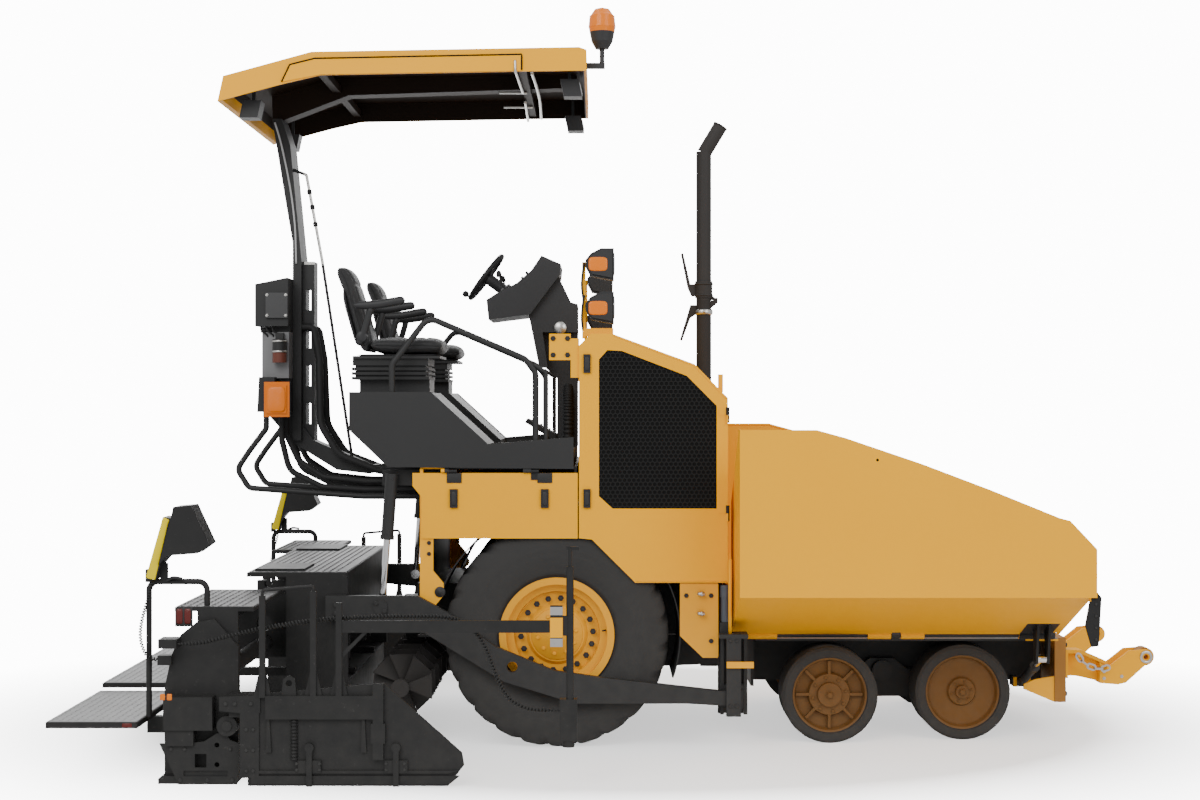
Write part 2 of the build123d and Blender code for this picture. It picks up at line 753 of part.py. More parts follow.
# Arch liners around the rear tyres
with BuildPart() as arch_liners:
    with BuildSketch(Plane.XZ.offset(wall_outer + gap)):
        with BuildLine():
            arch_angles = (-20, 160)
            inner_arc = CenterArc((drive_x, drive_z), 596, arch_angles[0], arch_angles[1] - arch_angles[0])
            outer_arc = CenterArc((drive_x, drive_z), 602, arch_angles[0], arch_angles[1] - arch_angles[0])
            Line(inner_arc @ 0, outer_arc @ 0)
            Line(inner_arc @ 1, outer_arc @ 1)
        make_face()
    extrude(amount=hood_outer - 15 - wall_outer - 2 * gap)
    mirror(about=Plane.XZ)
pieces["arch_liners"] = arch_liners

# Operator platform: floor, skirts, seat pedestals and their bellows
with BuildPart() as platform:
    side_slab(skirt_profile, platform_outer, platform_outer + 8)
    side_slab(
        [
            (-1391, deck_z),
            (-997, deck_z),
            (-721, 1470),
            (-721, platform_low),
            (-1203, platform_low),
            (-1391, 1542),
        ],
        300,
        platform_outer,
    )
    block((seat_x - 189, seat_x + 155), (-seat_y - 130, -seat_y + 130), (deck_z, 1790))
    bellows = (
        # low edge, height, step in from the widest fold
        (1787, 10, 0),
        (1800, 8, 16),
        (1810, 10, 0),
        (1822, 8, 16),
        (1832, 10, 0),
        (1844, 10, 16),
        (1856, 40, 4),
    )
    for low, height, step in bellows:
        block(
            (seat_x - 222 + step, seat_x + 155 - step),
            (-seat_y - 180 + step, -seat_y + 180 - step),
            (low, low + height + 4),
        )
    block((seat_x - 215, seat_x + 210), (-seat_y - 190, -seat_y + 190), (1890, cushion_low - gap))
    mirror(about=Plane.XZ)
    block((-1203, -306), (-platform_outer, platform_outer), (platform_low, platform_low + 12))
    block((-1203, -306), (-platform_outer, platform_outer), (platform_floor_z - 10, platform_floor_z))
    for rib_x in (-720, -318):
        block((rib_x, rib_x + 12), (-platform_outer, platform_outer), (platform_low, platform_floor_z))
    for pedal_y in (-130, 60):
        side_slab(
            [(-410, 1444), (-410, 1510), (-560, 1590), (-570, 1570), (-440, 1490), (-440, 1444)],
            pedal_y,
            pedal_y + 70,
        )
pieces["platform"] = platform

# Seats: cushion, curved back with its side plate, and armrests
with BuildPart() as seat_pads:
    with BuildPart(mode=Mode.PRIVATE) as seat:
        block((seat_x - 132, seat_x + 228), (-seat_y - 230, -seat_y + 230), (cushion_low, cushion_low + 91))
        fillet(seat.edges().filter_by(Axis.Z), 40)
        fillet(seat.faces().sort_by(Axis.Z)[-1].edges(), 22)
    add(seat.part)
    side_slab(
        [
            (seat_x - 178, cushion_low),
            (seat_x - 90, cushion_low),
            (seat_x - 120, 2010),
            (seat_x - 174, 2207),
            (seat_x - 202, 2267),
            (seat_x - 229, 2317),
            (seat_x - 261, 2345),
            (seat_x - 294, 2354),
            (seat_x - 312, 2331),
            (seat_x - 284, 2295),
            (seat_x - 266, 2207),
            (seat_x - 261, 2142),
            (seat_x - 243, 2059),
            (seat_x - 215, 1967),
        ],
        seat_y - 215,
        seat_y + 215,
    )
    for arm_side in (-245, 245):
        side_slab(
            [
                (seat_x - 215, 2183),
                (seat_x + 40, 2190),
                (seat_x + 56, 2177),
                (seat_x + 40, 2158),
                (seat_x - 90, 2125),
                (seat_x - 210, 2109),
            ],
            seat_y + arm_side - 26,
            seat_y + arm_side + 26,
        )
        side_slab(
            [
                (seat_x - 140, 2120),
                (seat_x - 80, 2128),
                (seat_x - 80, 1990),
                (seat_x - 140, 1930),
                (seat_x - 190, 1960),
            ],
            seat_y + arm_side - 10,
            seat_y + arm_side + 10,
        )
    for knob_inner, knob_outer in ((-245, -200), (200, 245)):
        side_disc(seat_x - 150, 1985, 22, seat_y + knob_inner, seat_y + knob_outer)
    mirror(about=Plane.XZ)
pieces["seat_pads"] = seat_pads

# Handrails at the platform's edges
with BuildPart() as handrails:
    bent_tube(
        [
            (-1186, -rail_y, deck_z + gap),
            (-1186, -rail_y, 1860),
            (-1010, -rail_y, 2088),
            (-540, -rail_y, 1885),
            (-490, -rail_y, 1820),
            (-490, -rail_y, platform_floor_z + gap),
        ],
        [60, 60, 60, 50],
        rail_tube,
    )
    rod((-440, -rail_y, platform_floor_z + gap), (-440, -rail_y, 1830), rail_tube - 4)
    rod((-440, -rail_y, 1820), (-500, -rail_y, 1860), rail_tube - 5)
    mirror(about=Plane.XZ)
pieces["handrails"] = handrails

# Steering console: leg, box, wedge and sloped housing with the column
with BuildPart() as console:
    leg_foot = platform_floor_z + gap
    leg = [(-402, leg_foot), (-402, 1800), (-480, 1870), (-490, 2050), (-294, 2050), (-294, leg_foot)]
    side_slab(leg, -90, 90)
    side_slab([(-549, 2130), (-490, 2130), (-450, 1860), (-495, 1860)], -190, 190)
    side_slab([(-495, 2039), (-552, 2140), (-400, 2345), (-329, 2195), (-294, 2185), (-294, 2039)], -190, 190)
    side_slab(
        [
            (-766, 2206),
            (-755, 2103),
            (-540, 2130),
            (-386, 2336),
            (-381, 2391),
            (-481, 2435),
            (-535, 2357),
            (-608, 2293),
            (-707, 2243),
        ],
        -230,
        230,
    )
    rod((-660, 0, 2247.5), (-770, 0, 2330), 30)
pieces["console"] = console

# Steering wheel on its column
wheel_axis = Vector(-80, 0, 60).normalized()
wheel_centre = Vector(-690, 0, 2270) + wheel_axis * (100 + gap + 12)
with BuildPart() as steering_wheel:
    wheel_plane = Plane(origin=wheel_centre, x_dir=(0, 1, 0), z_dir=wheel_axis)
    with BuildSketch(wheel_plane.offset(-12)):
        Circle(150)
        Circle(122, mode=Mode.SUBTRACT)
        for spoke in (0, 120, 240):
            with Locations(Rotation(0, 0, spoke)):
                with Locations((65, 0)):
                    Rectangle(130, 26)
        Circle(34)
    extrude(amount=24)
pieces["steering_wheel"] = steering_wheel

# Mast with its foot
with BuildPart() as canopy_mast:
    side_slab(
        [
            (-1787, 1475),
            (-1787, 2508),
            (-1822, 2714),
            (-1895, 3160 - gap),
            (-1845, 3160 - gap),
            (-1800, 3020),
            (-1742, 2428),
            (-1742, 1475),
        ],
        -110,
        110,
    )
    side_slab([(-1742, 1475), (-1742, 2415), (-1681, 2415), (-1681, 1475)], -60, 60)
    side_slab(
        [
            (-1930, 1620 - gap),
            (-1787, 1620 - gap),
            (-1681, 1475),
            (-1391, 1345),
            (-1204, 1362),
            (-1204, 1330),
            (-1391, 1300),
            (-1560, 1320),
            (-1787, 1460),
        ],
        -80,
        80,
    )
    block((-1215, -1050 - gap), (-80, 80), (1300, 1362))
    bent_tube([(-1800, -70, 2900), (-1721, -70, 2870), (-1638, -70, 2417), (-1480, -70, 1378)], [12, 30], 8)
    for slot_z in (1560, 1760, 1960, 2160):
        block((-1725, -1698), (-61, 61), (slot_z, slot_z + 110), mode=Mode.SUBTRACT)
pieces["canopy_mast"] = canopy_mast

# Canopy roof, hollow below
with BuildPart() as canopy_roof:
    side_slab(roof_profile, -roof_outer, roof_outer)
    side_slab(
        [
            (-2025, 3120),
            (-2003, 3258),
            (-1584, 3374),
            (-285, 3397),
            (-262, 3385),
            (-262, 3200),
            (-2025, 3100),
        ],
        -roof_outer + roof_sheet,
        roof_outer - roof_sheet,
        mode=Mode.SUBTRACT,
    )
    beam = [(-1900, 3160), (-1905, 3290), (-1584, 3380), (-300, 3403), (-300, 3330), (-1500, 3290), (-1840, 3160)]
    side_slab(beam, -60, 60)
    fold_out = [(-1730, 3238), (-1690, 3322), (-1570, 3352), (-560, 3372), (-560, 3292), (-1540, 3274)]
    for half in (-1, 1):
        panel_low = min(half * roof_outer, half * (roof_outer + 6))
        side_slab(fold_out, -panel_low - 6, -panel_low)
    for rail_x in (-1560, -560):
        block((rail_x - 20, rail_x + 20), (-roof_outer + 6, roof_outer - 6), (3300, 3340))
pieces["canopy_roof"] = canopy_roof

# Work lamps, hood lamps and beacon
lamp_shape = [
    # X and height above the lamp's lowest point
    (lamp_rear + 139, 0),
    (lamp_rear + 139, 158),
    (lamp_rear + 75, 158),
    (lamp_rear + 25, 132),
    (lamp_rear, 101),
    (lamp_rear, 69),
    (lamp_rear + 25, 22),
]
with BuildPart() as lamps:
    for lamp_x, lamp_y, lamp_z, roof_z in ((-330, -600, 3235, 3396), (-1900, -600, 3130, 3284.3)):
        lean = 18 if lamp_x > -1000 else -18
        side_slab(
            [
                (lamp_x - 45, lamp_z + 40),
                (lamp_x + 45, lamp_z + 40),
                (lamp_x + 45 + lean, lamp_z - 45),
                (lamp_x - 45 + lean, lamp_z - 45),
            ],
            -lamp_y - 55,
            -lamp_y + 55,
        )
        block((lamp_x - 8, lamp_x + 8), (lamp_y - 8, lamp_y + 8), (lamp_z + 39, roof_z - gap))
    for lamp_low in (2060, 2273):
        outline = [(x, lamp_low + height) for x, height in lamp_shape]
        side_slab(outline, 650, 750)
        cheek_x, cheek_z = lamp_rear + 80, lamp_low + 84
        cheek = [(cheek_x + 0.86 * (x - cheek_x), cheek_z + 0.86 * (z - cheek_z)) for x, z in outline]
        side_slab(cheek, 636, 764)
    mirror(about=Plane.XZ)
    beacon_x, beacon_y = -168, -700
    with BuildSketch(Plane.XZ.offset(-beacon_y)):
        Polygon(
            (beacon_x, 3415),
            (beacon_x + 32, 3415),
            (beacon_x + 52, 3450),
            (beacon_x + 66, 3520),
            (beacon_x + 60, 3575),
            (beacon_x + 36, 3610),
            (beacon_x, 3620),
            align=None,
        )
    revolve(axis=Axis((beacon_x, beacon_y, 3400), (0, 0, 1)))
    rod((beacon_x, beacon_y, 3340), (beacon_x, beacon_y, 3420), 12)
    block((-244 + gap, beacon_x + 14), (beacon_y - 14, beacon_y + 14), (3318, 3345))
pieces["lamps"] = lamps

# Exhaust stack above its fold hinge
with BuildPart() as exhaust_stack:
    rod((stack_x, 0, fold_z), (stack_x, 0, 3000), stack_radius)
    rod((stack_x, 0, 2990), (stack_x + 90, 0, 3140), stack_radius - 2)
    rod((stack_x, 0, 2190), (stack_x, 0, 3010), stack_radius - 6, mode=Mode.SUBTRACT)
    fold_ear = [(stack_x + 37, fold_z + 1), (fold_x, fold_z + 1), (fold_x, fold_z + 11), (stack_x + 37, fold_z + 30)]
    side_slab(fold_ear, -13.5, 13.5)
    side_disc(fold_x, fold_z, 12, -13.5, 13.5)
    side_disc(fold_x, fold_z, 6 + pin_play, -14, 14, mode=Mode.SUBTRACT)
    rod((stack_x, 0, fold_z + 12), (stack_x, 0, fold_z + 100), stack_radius + 6)
    rod((stack_x, 0, fold_z), (stack_x, 0, fold_z + 110), stack_radius - 6, mode=Mode.SUBTRACT)
    side_slab(
        [(330, 2235), (331, 2300), (300, 2300), (262, 2465), (250, 2460), (285, 2280), (306, 2235)],
        -6,
        6,
    )
pieces["exhaust_stack"] = exhaust_stack

# Electric box and tank behind the mast, with a filter bowl and the rear lamps
with BuildPart() as rear_cabinet:
    mast_face = -1787 - gap
    side_slab(
        [(-1957, 2068), (-1957, 2285), (-1745 - 50, 2318), (mast_face, 2318), (mast_face, 2068)],
        -260,
        260,
    )
    block((-1900, mast_face), (-275, -259), (2110, 2240))
    block((-1926, mast_face), (-230, 230), (1800, 2037))
    block((-1880, mast_face), (-200, 200), (2030, 2070))
    block((-1860, mast_face), (-200, 200), (1620, 1806))
    side_slab([(-1939, 1625), (-1930, 1805), (-1850, 1805), (-1850, 1625)], -300, 300)
    for half in (-1, 1):
        low, high = sorted((half * 299, half * 318))
        block((-1905, -1767), (low, high), (1600, 1780))
        low, high = sorted((half * 317, half * 326))
        block((-1888, -1784), (low, high), (1618, 1762))
    rod((-1830, -262, 1880), (-1830, -262, 2000), 36)
    block((-1850, -1810), (-270, -225), (1990, 2032))
pieces["rear_cabinet"] = rear_cabinet

with BuildPart() as guard_tubes:
    bent_tube(
        [
            (-1900, -250, 1625 - gap),
            (-1900, -250, 1540),
            (-1990, -250, 1420),
            (-2050, -250, 1330),
            (-1990, -250, 1233),
            (-1400, -250, 1190),
            (-1050 - gap, -250, 1190),
        ],
        [40, 80, 45, 45, 80],
        15,
    )
    mirror(about=Plane.XZ)
pieces["guard_tubes"] = guard_tubes

# Air ducts from the mast to the frame, and the supply hoses that hang in a bow below the cabinet
rear_runs = (
    # radius, bend radii, then the points of the run
    (
        19,
        [35, 90, 150, 120, 90],
        [
            (-1742 + gap, -86, 2070),
            (-1680, -86, 2070),
            (-1650, -90, 1900),
            (-1640, -120, 1560),
            (-1540, -130, 1400),
            (-1330, -130, 1318),
            (-1050 - gap, -130, 1318),
        ],
    ),
    (
        16,
        [60, 90, 90, 60],
        [
            (-1830, -190, 1620 - gap),
            (-1830, -190, 1480),
            (-1790, -190, 1320),
            (-1620, -190, 1236),
            (-1400, -190, 1222),
            (-1050 - gap, -190, 1222),
        ],
    ),
    (
        16,
        [60, 90, 90, 60],
        [
            (-1815, -140, 1620 - gap),
            (-1815, -140, 1510),
            (-1750, -140, 1370),
            (-1620, -140, 1285),
            (-1400, -140, 1262),
            (-1050 - gap, -140, 1262),
        ],
    ),
)
with BuildPart() as rear_hoses:
    for radius, bends, points in rear_runs:
        bent_tube(points, bends, radius)
    mirror(about=Plane.XZ)
pieces["rear_hoses"] = rear_hoses

# Tow point guides on the frame: slide rails inside, cover strip outside, cylinder and its block
with BuildPart() as tow_guides:
    guide_low, guide_high = 165, 560
    cover_inner, cover_outer = arm_outer + 7, arm_outer + 19
    rail_face = arm_inner - 8
    for rail_rear in (405, 518):
        side_slab(
            [
                (rail_rear, guide_low),
                (rail_rear, guide_high),
                (rail_rear + 17, guide_high),
                (rail_rear + 17, guide_low),
            ],
            guide_inner,
            rail_face,
        )
    side_slab(
        [(395 + gap, guide_low), (395 + gap, guide_high), (535, guide_high), (535, guide_low)],
        guide_inner - 12,
        guide_inner,
    )
    head = [(395 + gap, guide_high - 20), (395 + gap, guide_high), (535, guide_high), (535, guide_high - 20)]
    side_slab(head, guide_inner, cover_outer)
    side_slab([(430, guide_low), (430, guide_high), (500, guide_high), (500, guide_low)], cover_inner, cover_outer)
    side_slab([(430, 400), (430, 430), (560, 430), (560, 400)], cover_outer, cover_outer + 14)
    cylinder_y = rail_face - 26
    rod((430, -cylinder_y, guide_high - 1), (430, -cylinder_y, 790), 22)
    rod((430, -cylinder_y, 730), (430, -cylinder_y, 790), 26)
    block((402, 458), (-rail_face, -guide_inner + 8), (guide_high - 1, 610))
    mirror(about=Plane.XZ)
pieces["tow_guides"] = tow_guides

# Tow point sliders with their pins
with BuildPart() as tow_sliders:
    side_slab([(423, 190), (423, 310), (517, 310), (517, 190)], guide_inner + 1, arm_inner - 4)
    side_disc(tow_x, tow_z, arm_pin_radius, arm_inner - 6, arm_outer + 2)
    mirror(about=Plane.XZ)
pieces["tow_sliders"] = tow_sliders

# Tow arms
with BuildPart() as tow_arms:
    side_slab(
        [
            (tow_x + 40, tow_z - 40),
            (tow_x + 40, tow_z + 40),
            (400, 285),
            (-190, 352),
            (-400, 383),
            (-680, 498),
            (-910, 662),
            (-1060, 744),
            (-1500, 744),
            (-1500, 640),
            (-1080, 600),
            (-640, 330),
            (-300, 225),
            (240, 225),
        ],
        arm_inner,
        arm_outer,
    )
    side_slab([(-1500, 640), (-1500, 744), (-1410, 744), (-1410, 640)], screed_half + gap, arm_inner)
    side_disc(tow_x, tow_z, arm_pin_radius + pin_play, arm_inner - 5, arm_outer + 5, mode=Mode.SUBTRACT)
    side_disc(-601, 401, 26, arm_inner - 1, arm_outer + 1, mode=Mode.SUBTRACT)
    side_disc(-1235, 690, 34, arm_outer - 1, arm_outer + 8)
    mirror(about=Plane.XZ)
pieces["tow_arms"] = tow_arms

# Main screed: plate, box, end frames, deck, walkway and the guides of the slide tubes
deck_low, deck_high = 830, 850
with BuildPart() as screed_body:
    block((-1720, -1395), (-screed_half, screed_half), (0, 22))
    block((-1700, -1420), (-screed_half, screed_half), (22, 300))
    for end in (-screed_half, screed_half - 20):
        block((-1700, -1400), (end, end + 20), (300, deck_low))
    for side in (-1, 1):
        for guide_out in (screed_half - 125, 60):
            guide = tuple(sorted((side * guide_out, side * (guide_out + 40))))
            block((-1975, -1405), guide, (430, guide_tops[side]))
        walkway_arm = tuple(sorted((side * 380, side * 420)))
        block((-2210, -1700), walkway_arm, (290, 330))
        block((-1700, -1420), walkway_arm, (300, 330))
        step = tuple(sorted((side * (screed_half - 60), side * (screed_half - 380))))
        block((-1860, -1620), step, (deck_high, deck_high + 14))
    block((-1890, -1405), (-screed_half, screed_half), (deck_low, deck_high))
    block((-2595, -2200), (-screed_half + 20, screed_half - 20), (290, 312))
    block((-1440, -1405), (-screed_half, screed_half), (560, deck_low))
    for tube in slide_tubes:
        for rise in (0, tube["left_rise"]):
            start = (tube["x"], -screed_half - 55, tube["z"] + rise)
            end = (tube["x"], screed_half + 55, tube["z"] + rise)
            rod(start, end, tube["radius"] + pin_play, mode=Mode.SUBTRACT)
pieces["screed_body"] = screed_body


def ring_on_side(x, y_range, z, radius, mode=Mode.ADD):
    """A round boss or bore along Y between two Y limits."""
    low, high = sorted(y_range)
    rod((x, low, z), (x, high, z), radius, mode=mode)


def cord_tube(points, diameter):
    """A cord's tube: straight runs joined by arcs that reach 0.45 of the shorter run."""
    bends = []
    for before, here, after in zip(points, points[1:], points[2:]):
        run_in, run_out = Vector(*here) - Vector(*before), Vector(*after) - Vector(*here)
        half_turn = run_in.get_angle(run_out) / 2
        bends.append(0.45 * min(run_in.length, run_out.length) / tan(radians(half_turn)))
    print("cord bends", [round(bend) for bend in bends])
    bent_tube(points, bends, diameter / 2)


# Screed extensions: plate, box, slide tubes, deck, walkway, end plate and remote station
station_y = 1600
for side_name, side, shift in (("right", -1, 0), ("left", 1, plate_shift_left)):

    def span(inner, outer):
        """Y limits of a piece on this side."""
        return tuple(sorted((side * inner, side * outer)))

    def gate_slab(points, inner, outer, mode=Mode.ADD):
        """A plate on this side, its outline in X and Z, from inner to outer."""
        low, high = span(inner, outer)
        side_slab(points, -high, -low, mode=mode)

    with BuildPart() as extension:
        block((-2120, -1775), span(extension_inner, extension_outer), (0, 22))
        block((-2090, -1790), span(extension_inner, extension_outer - 40), (22, 240))
        gate_slab(
            [
                (-2100, 22),
                (-2100, 420 + shift),
                (-2070, 560 + shift),
                (-2030, 650 + shift),
                (-1960, 706 + shift),
                (-1880, 720 + shift),
                (-1775, 600 + shift),
                (-1775, 22),
            ],
            extension_outer - 80,
            extension_outer - 40,
        )
        gate_slab(
            [
                (-2111, 179),
                (-2028, 0),
                (-1771, 0),
                (-1760, 179),
                (-1800, 195),
                (-1822, 224),
                (-1860, 224),
                (-1916, 188),
                (-1997, 179),
            ],
            extension_outer,
            extension_outer + 12,
        )
        gate_slab(
            [(-1956, 74), (-1956, 134), (-1905, 134), (-1905, 74)],
            extension_outer,
            extension_outer + 12,
            mode=Mode.SUBTRACT,
        )
        gate_slab(
            [(-2005, 36), (-2005, 60), (-1812, 60), (-1812, 36)],
            extension_outer + 4,
            extension_outer + 12,
            mode=Mode.SUBTRACT,
        )
        for hole_z in (173, 87):
            hole = span(extension_outer, extension_outer + 12)
            ring_on_side(-1859, hole, hole_z, 11, mode=Mode.SUBTRACT)
        block((-2095, -1780), span(extension_outer - 40, extension_outer), (22, 34))
        block((-2090, -1875), span(extension_outer - 40, extension_outer + 35), (240, 386))
        block((-2085, -1960), span(extension_outer - 40, extension_outer + 25), (171, 240))
        ring_on_side(-1812, span(extension_outer - 40, extension_outer + 30), 259, 45)
        ring_on_side(-1812, span(extension_outer + 30, extension_outer + 36), 259, 22)
        for tube in slide_tubes:
            tube_height = tube["z"] + (tube["left_rise"] if side > 0 else 0)
            ring_on_side(tube["x"], span(330, extension_outer - 50), tube_height, tube["radius"])
        deck_top = extension_deck_tops[side]
        block((-2060, -1710), span(extension_inner, extension_outer - 60), (deck_top - 18, deck_top))
        gate_slab(
            [(-1960, 690 + shift), (-1960, deck_top - 17), (-1780, deck_top - 17), (-1780, 590 + shift)],
            extension_outer - 80,
            extension_outer - 60,
        )
        block((-2600, -2200), span(extension_inner - 10, gate_inner + 5), (253, 279))
        for arm_out in (extension_inner + 120, station_y - 200):
            block((-2230, -2080), span(arm_out, arm_out + 40), (180, 253))
        block((-1800, -1640), span(extension_outer - 40, gate_inner - gap), (300, 400))
        # Remote station: rail, hood, screen and handle
        bent_tube(
            [
                (-2183, side * station_y, 279),
                (-2183, side * station_y, 880),
                (-1925, side * station_y, 880),
                (-1925, side * station_y, 440),
            ],
            [40, 40],
            13,
        )
        block((-1942, -1908), span(station_y - 5, extension_outer - 79), (455, 500))
        handset_plate = [(-2180, 900), (-2105, 1170), (-2075, 1165), (-2060, 1150), (-2140, 893)]
        gate_slab(handset_plate, station_y - 60, station_y + 60)
        gate_slab(
            [(-2124, 960), (-2080, 1120), (-2060, 1215), (-1980, 1222), (-1900, 1050), (-1955, 1010), (-2090, 1000)],
            station_y - 75,
            station_y + 75,
        )
        block((-2130, -2100), span(station_y - 12, station_y + 12), (875, 962))
        block((-2125, -2065), span(extension_outer - 60, extension_outer - 10), (520, 562))
        if side < 0:
            block((-2110, -2030), span(extension_outer - 60, gate_inner), (600, 640))
    pieces[f"extension_{side_name}"] = extension

    # End gate: plate, beam, ski strips, clamps, springs, posts and on the right the grade sensor
    with BuildPart() as end_gate:
        face = gate_inner + gate_plate
        gate_slab(
            [(-1715, 3), (-1715, 400), (-1122, 451), (-781, 148), (-771, 94), (-841, 3)],
            gate_inner,
            face,
        )
        gate_slab([(-1748, 330), (-1748, 40), (-1665, 40), (-1665, 330)], gate_inner, face + 8)
        gate_slab([(-1748, 322), (-1839, 330), (-1839, 392), (-1660, 400), (-1660, 322)], gate_inner, face + 8)
        gate_slab([(-1636, 296), (-1636, 398), (-1160, 398), (-1160, 296)], face, gate_outer)
        for low, high in ((11, 48), (58, 71)):
            gate_slab([(-1700, low), (-1700, high), (-790, high), (-836, low)], face, face + 8)
        for clamp_x in (-1445, -1067):
            strap = [(clamp_x - 12, 3), (clamp_x - 12, 186), (clamp_x + 12, 186), (clamp_x + 12, 3)]
            gate_slab(strap, face, gate_outer)
            ring_on_side(clamp_x, span(face, gate_outer), 172, 20)
            keeper = [(clamp_x - 50, 60), (clamp_x - 50, 116), (clamp_x + 50, 116), (clamp_x + 50, 60)]
            gate_slab(keeper, face, face + 12)
        gate_slab([(-1168, 119), (-1168, 451), (-1122, 451), (-1122, 119)], face, gate_outer)
        gate_slab([(-1176, 190), (-1176, 277), (-1114, 277), (-1114, 190)], face - 6, gate_outer)
        spring_y = side * (face + 2)
        coils = [(0, 116)]
        for turn in range(12):
            coils += [(17, 120 + 15 * turn), (11, 127 + 15 * turn)]
        coils += [(0, 297)]
        with BuildSketch(Plane.XZ.offset(-spring_y)) as outline:
            Polygon(*[(-1512 + out, z) for out, z in coils], align=None)
        revolve(outline.sketch, axis=Axis((-1512, spring_y, 0), (0, 0, 1)))
        for post_x, post_low, post_high in ((-1650, 390, 834), (-1428, 390, 853), (-1316, 390, 804)):
            post = [
                (post_x - 13, post_low),
                (post_x - 13, post_high),
                (post_x + 13, post_high),
                (post_x + 13, post_low),
            ]
            gate_slab(post, face, gate_outer)
            gusset_high = post_low + 120
            gusset = [
                (post_x - 40, post_low),
                (post_x - 13, gusset_high),
                (post_x + 13, gusset_high),
                (post_x + 40, post_low),
            ]
            gate_slab(gusset, face, face + 8)
        gate_slab([(-1567, 396), (-1560, 470), (-1534, 488), (-1508, 470), (-1501, 396)], face, face + 10)
        ring_on_side(-1534, span(face, face + 10), 452, 14, mode=Mode.SUBTRACT)
        for lever_x in (-1625, -1210):
            gate_slab(
                [(lever_x - 10, 150), (lever_x - 6, 296), (lever_x + 6, 296), (lever_x + 14, 150)], face, face + 10
            )
        bent_tube(
            [
                (-1650, side * (face + 9), 700),
                (-1650, side * (face + 9), 858),
                (-1428, side * (face + 9), 876),
                (-1428, side * (face + 9), 840),
            ],
            [14, 14],
            7,
        )
        if side < 0:
            bar_y = (gate_outer - 26, gate_outer - 4)
            gate_slab([(-1320, 673), (-1320, 725), (-387, 725), (-387, 673)], *bar_y)
            gate_slab([(-1303, 560), (-1303, 585), (-1212, 674), (-1192, 674)], gate_outer - 24, gate_outer - 8)
            gate_slab([(-395, 612), (-395, 790), (-341, 790), (-341, 612)], gate_outer - 32, gate_outer)
            sensor_y = side * (gate_outer - 18)
            rod((-309, sensor_y, 381), (-309, sensor_y, 960), 16)
            block((-345, -300), span(gate_outer - 30, gate_outer - 6), (660, 745))
            rod((-309, sensor_y, 940), (-309, sensor_y, 1043), 9)
            gate_slab([(-325, 1035), (-325, 1050), (-268, 1046), (-268, 1031)], gate_outer - 24, gate_outer - 12)
            gate_slab([(-354, 200), (-354, 382), (-278, 382), (-278, 200)], gate_outer - 60, gate_outer - 2)
            rod((-316, side * (gate_outer - 31), 172), (-316, side * (gate_outer - 31), 201), 26)
    pieces[f"end_gate_{side_name}"] = end_gate

    # Curly cord from the remote station down to its socket
    with BuildPart() as remote_cord:
        remote_points = [
            (-2160, side * (station_y + 40), 894),
            (-2165, side * (station_y + 42), 840),
            (-2200, side * (station_y + 46), 740),
            (-2215, side * (station_y + 50), 640),
            (-2190, side * (station_y + 52), 565),
            (-2160, side * (station_y + 54), 541),
            (-2125 - gap, side * (station_y + 54), 541),
        ]
        cord_tube(remote_points, remote_cord_diameter)
    pieces[f"remote_cord_{side_name}"] = remote_cord

# Curly cord from the grade sensor along its bar to the extension
with BuildPart() as sensor_cord:
    inside_bar = -gate_outer + 38
    outside_station = -gate_inner + 13
    sensor_points = [
        (-354 - gap, -1745, 330),
        (-410, -1745, 331),
        (-500, -1743, 334),
        (-590, -1741, 385),
        (-640, inside_bar, 500),
        (-690, inside_bar, 640),
        (-790, inside_bar, 738),
        (-1000, inside_bar, 742),
        (-1250, inside_bar, 738),
        (-1440, -1735, 722),
        (-1650, outside_station, 690),
        (-1830, outside_station, 648),
        (-1935, outside_station, 620),
        (-2030 + gap, outside_station, 620),
    ]
    cord_tube(sensor_points, sensor_cord_diameter)
pieces["sensor_cord"] = sensor_cord

# Augers: shaft with a flight built from flat blades, as the cast segments of a real one
with BuildPart() as auger:
    auger_start, auger_end = 50 + gap, 820
    side_disc(auger_x, auger_z, auger_shaft, auger_start, auger_end)
    side_disc(auger_x, auger_z, auger_shaft + 14, auger_end - 30, auger_end)
    blade_turn = 360 / blade_count
    blade_step = auger_pitch / blade_count
    blade_rise = degrees(atan2(blade_step, (auger_radius - 20) * radians(blade_turn)))
    half_width = auger_radius * tan(radians(blade_turn / 2)) * 1.04
    with BuildPart(mode=Mode.PRIVATE) as blade:
        with BuildSketch(Plane.XZ.offset(-6)) as outline:
            Polygon(
                (-10, auger_shaft - 8),
                (10, auger_shaft - 8),
                (half_width, auger_radius - 3),
                (0, auger_radius),
                (-half_width, auger_radius - 3),
                align=None,
            )
        extrude(outline.sketch, amount=12)
    tilted = blade.part.rotate(Axis.Z, blade_rise)
    flights = int((auger_end - 90 - auger_start) / blade_step)
    for index in range(flights):
        out = auger_start + 45 + index * blade_step
        one = tilted.rotate(Axis.Y, index * blade_turn)
        add(one.moved(Location((auger_x, -out, auger_z))))
both_sides("auger", auger)

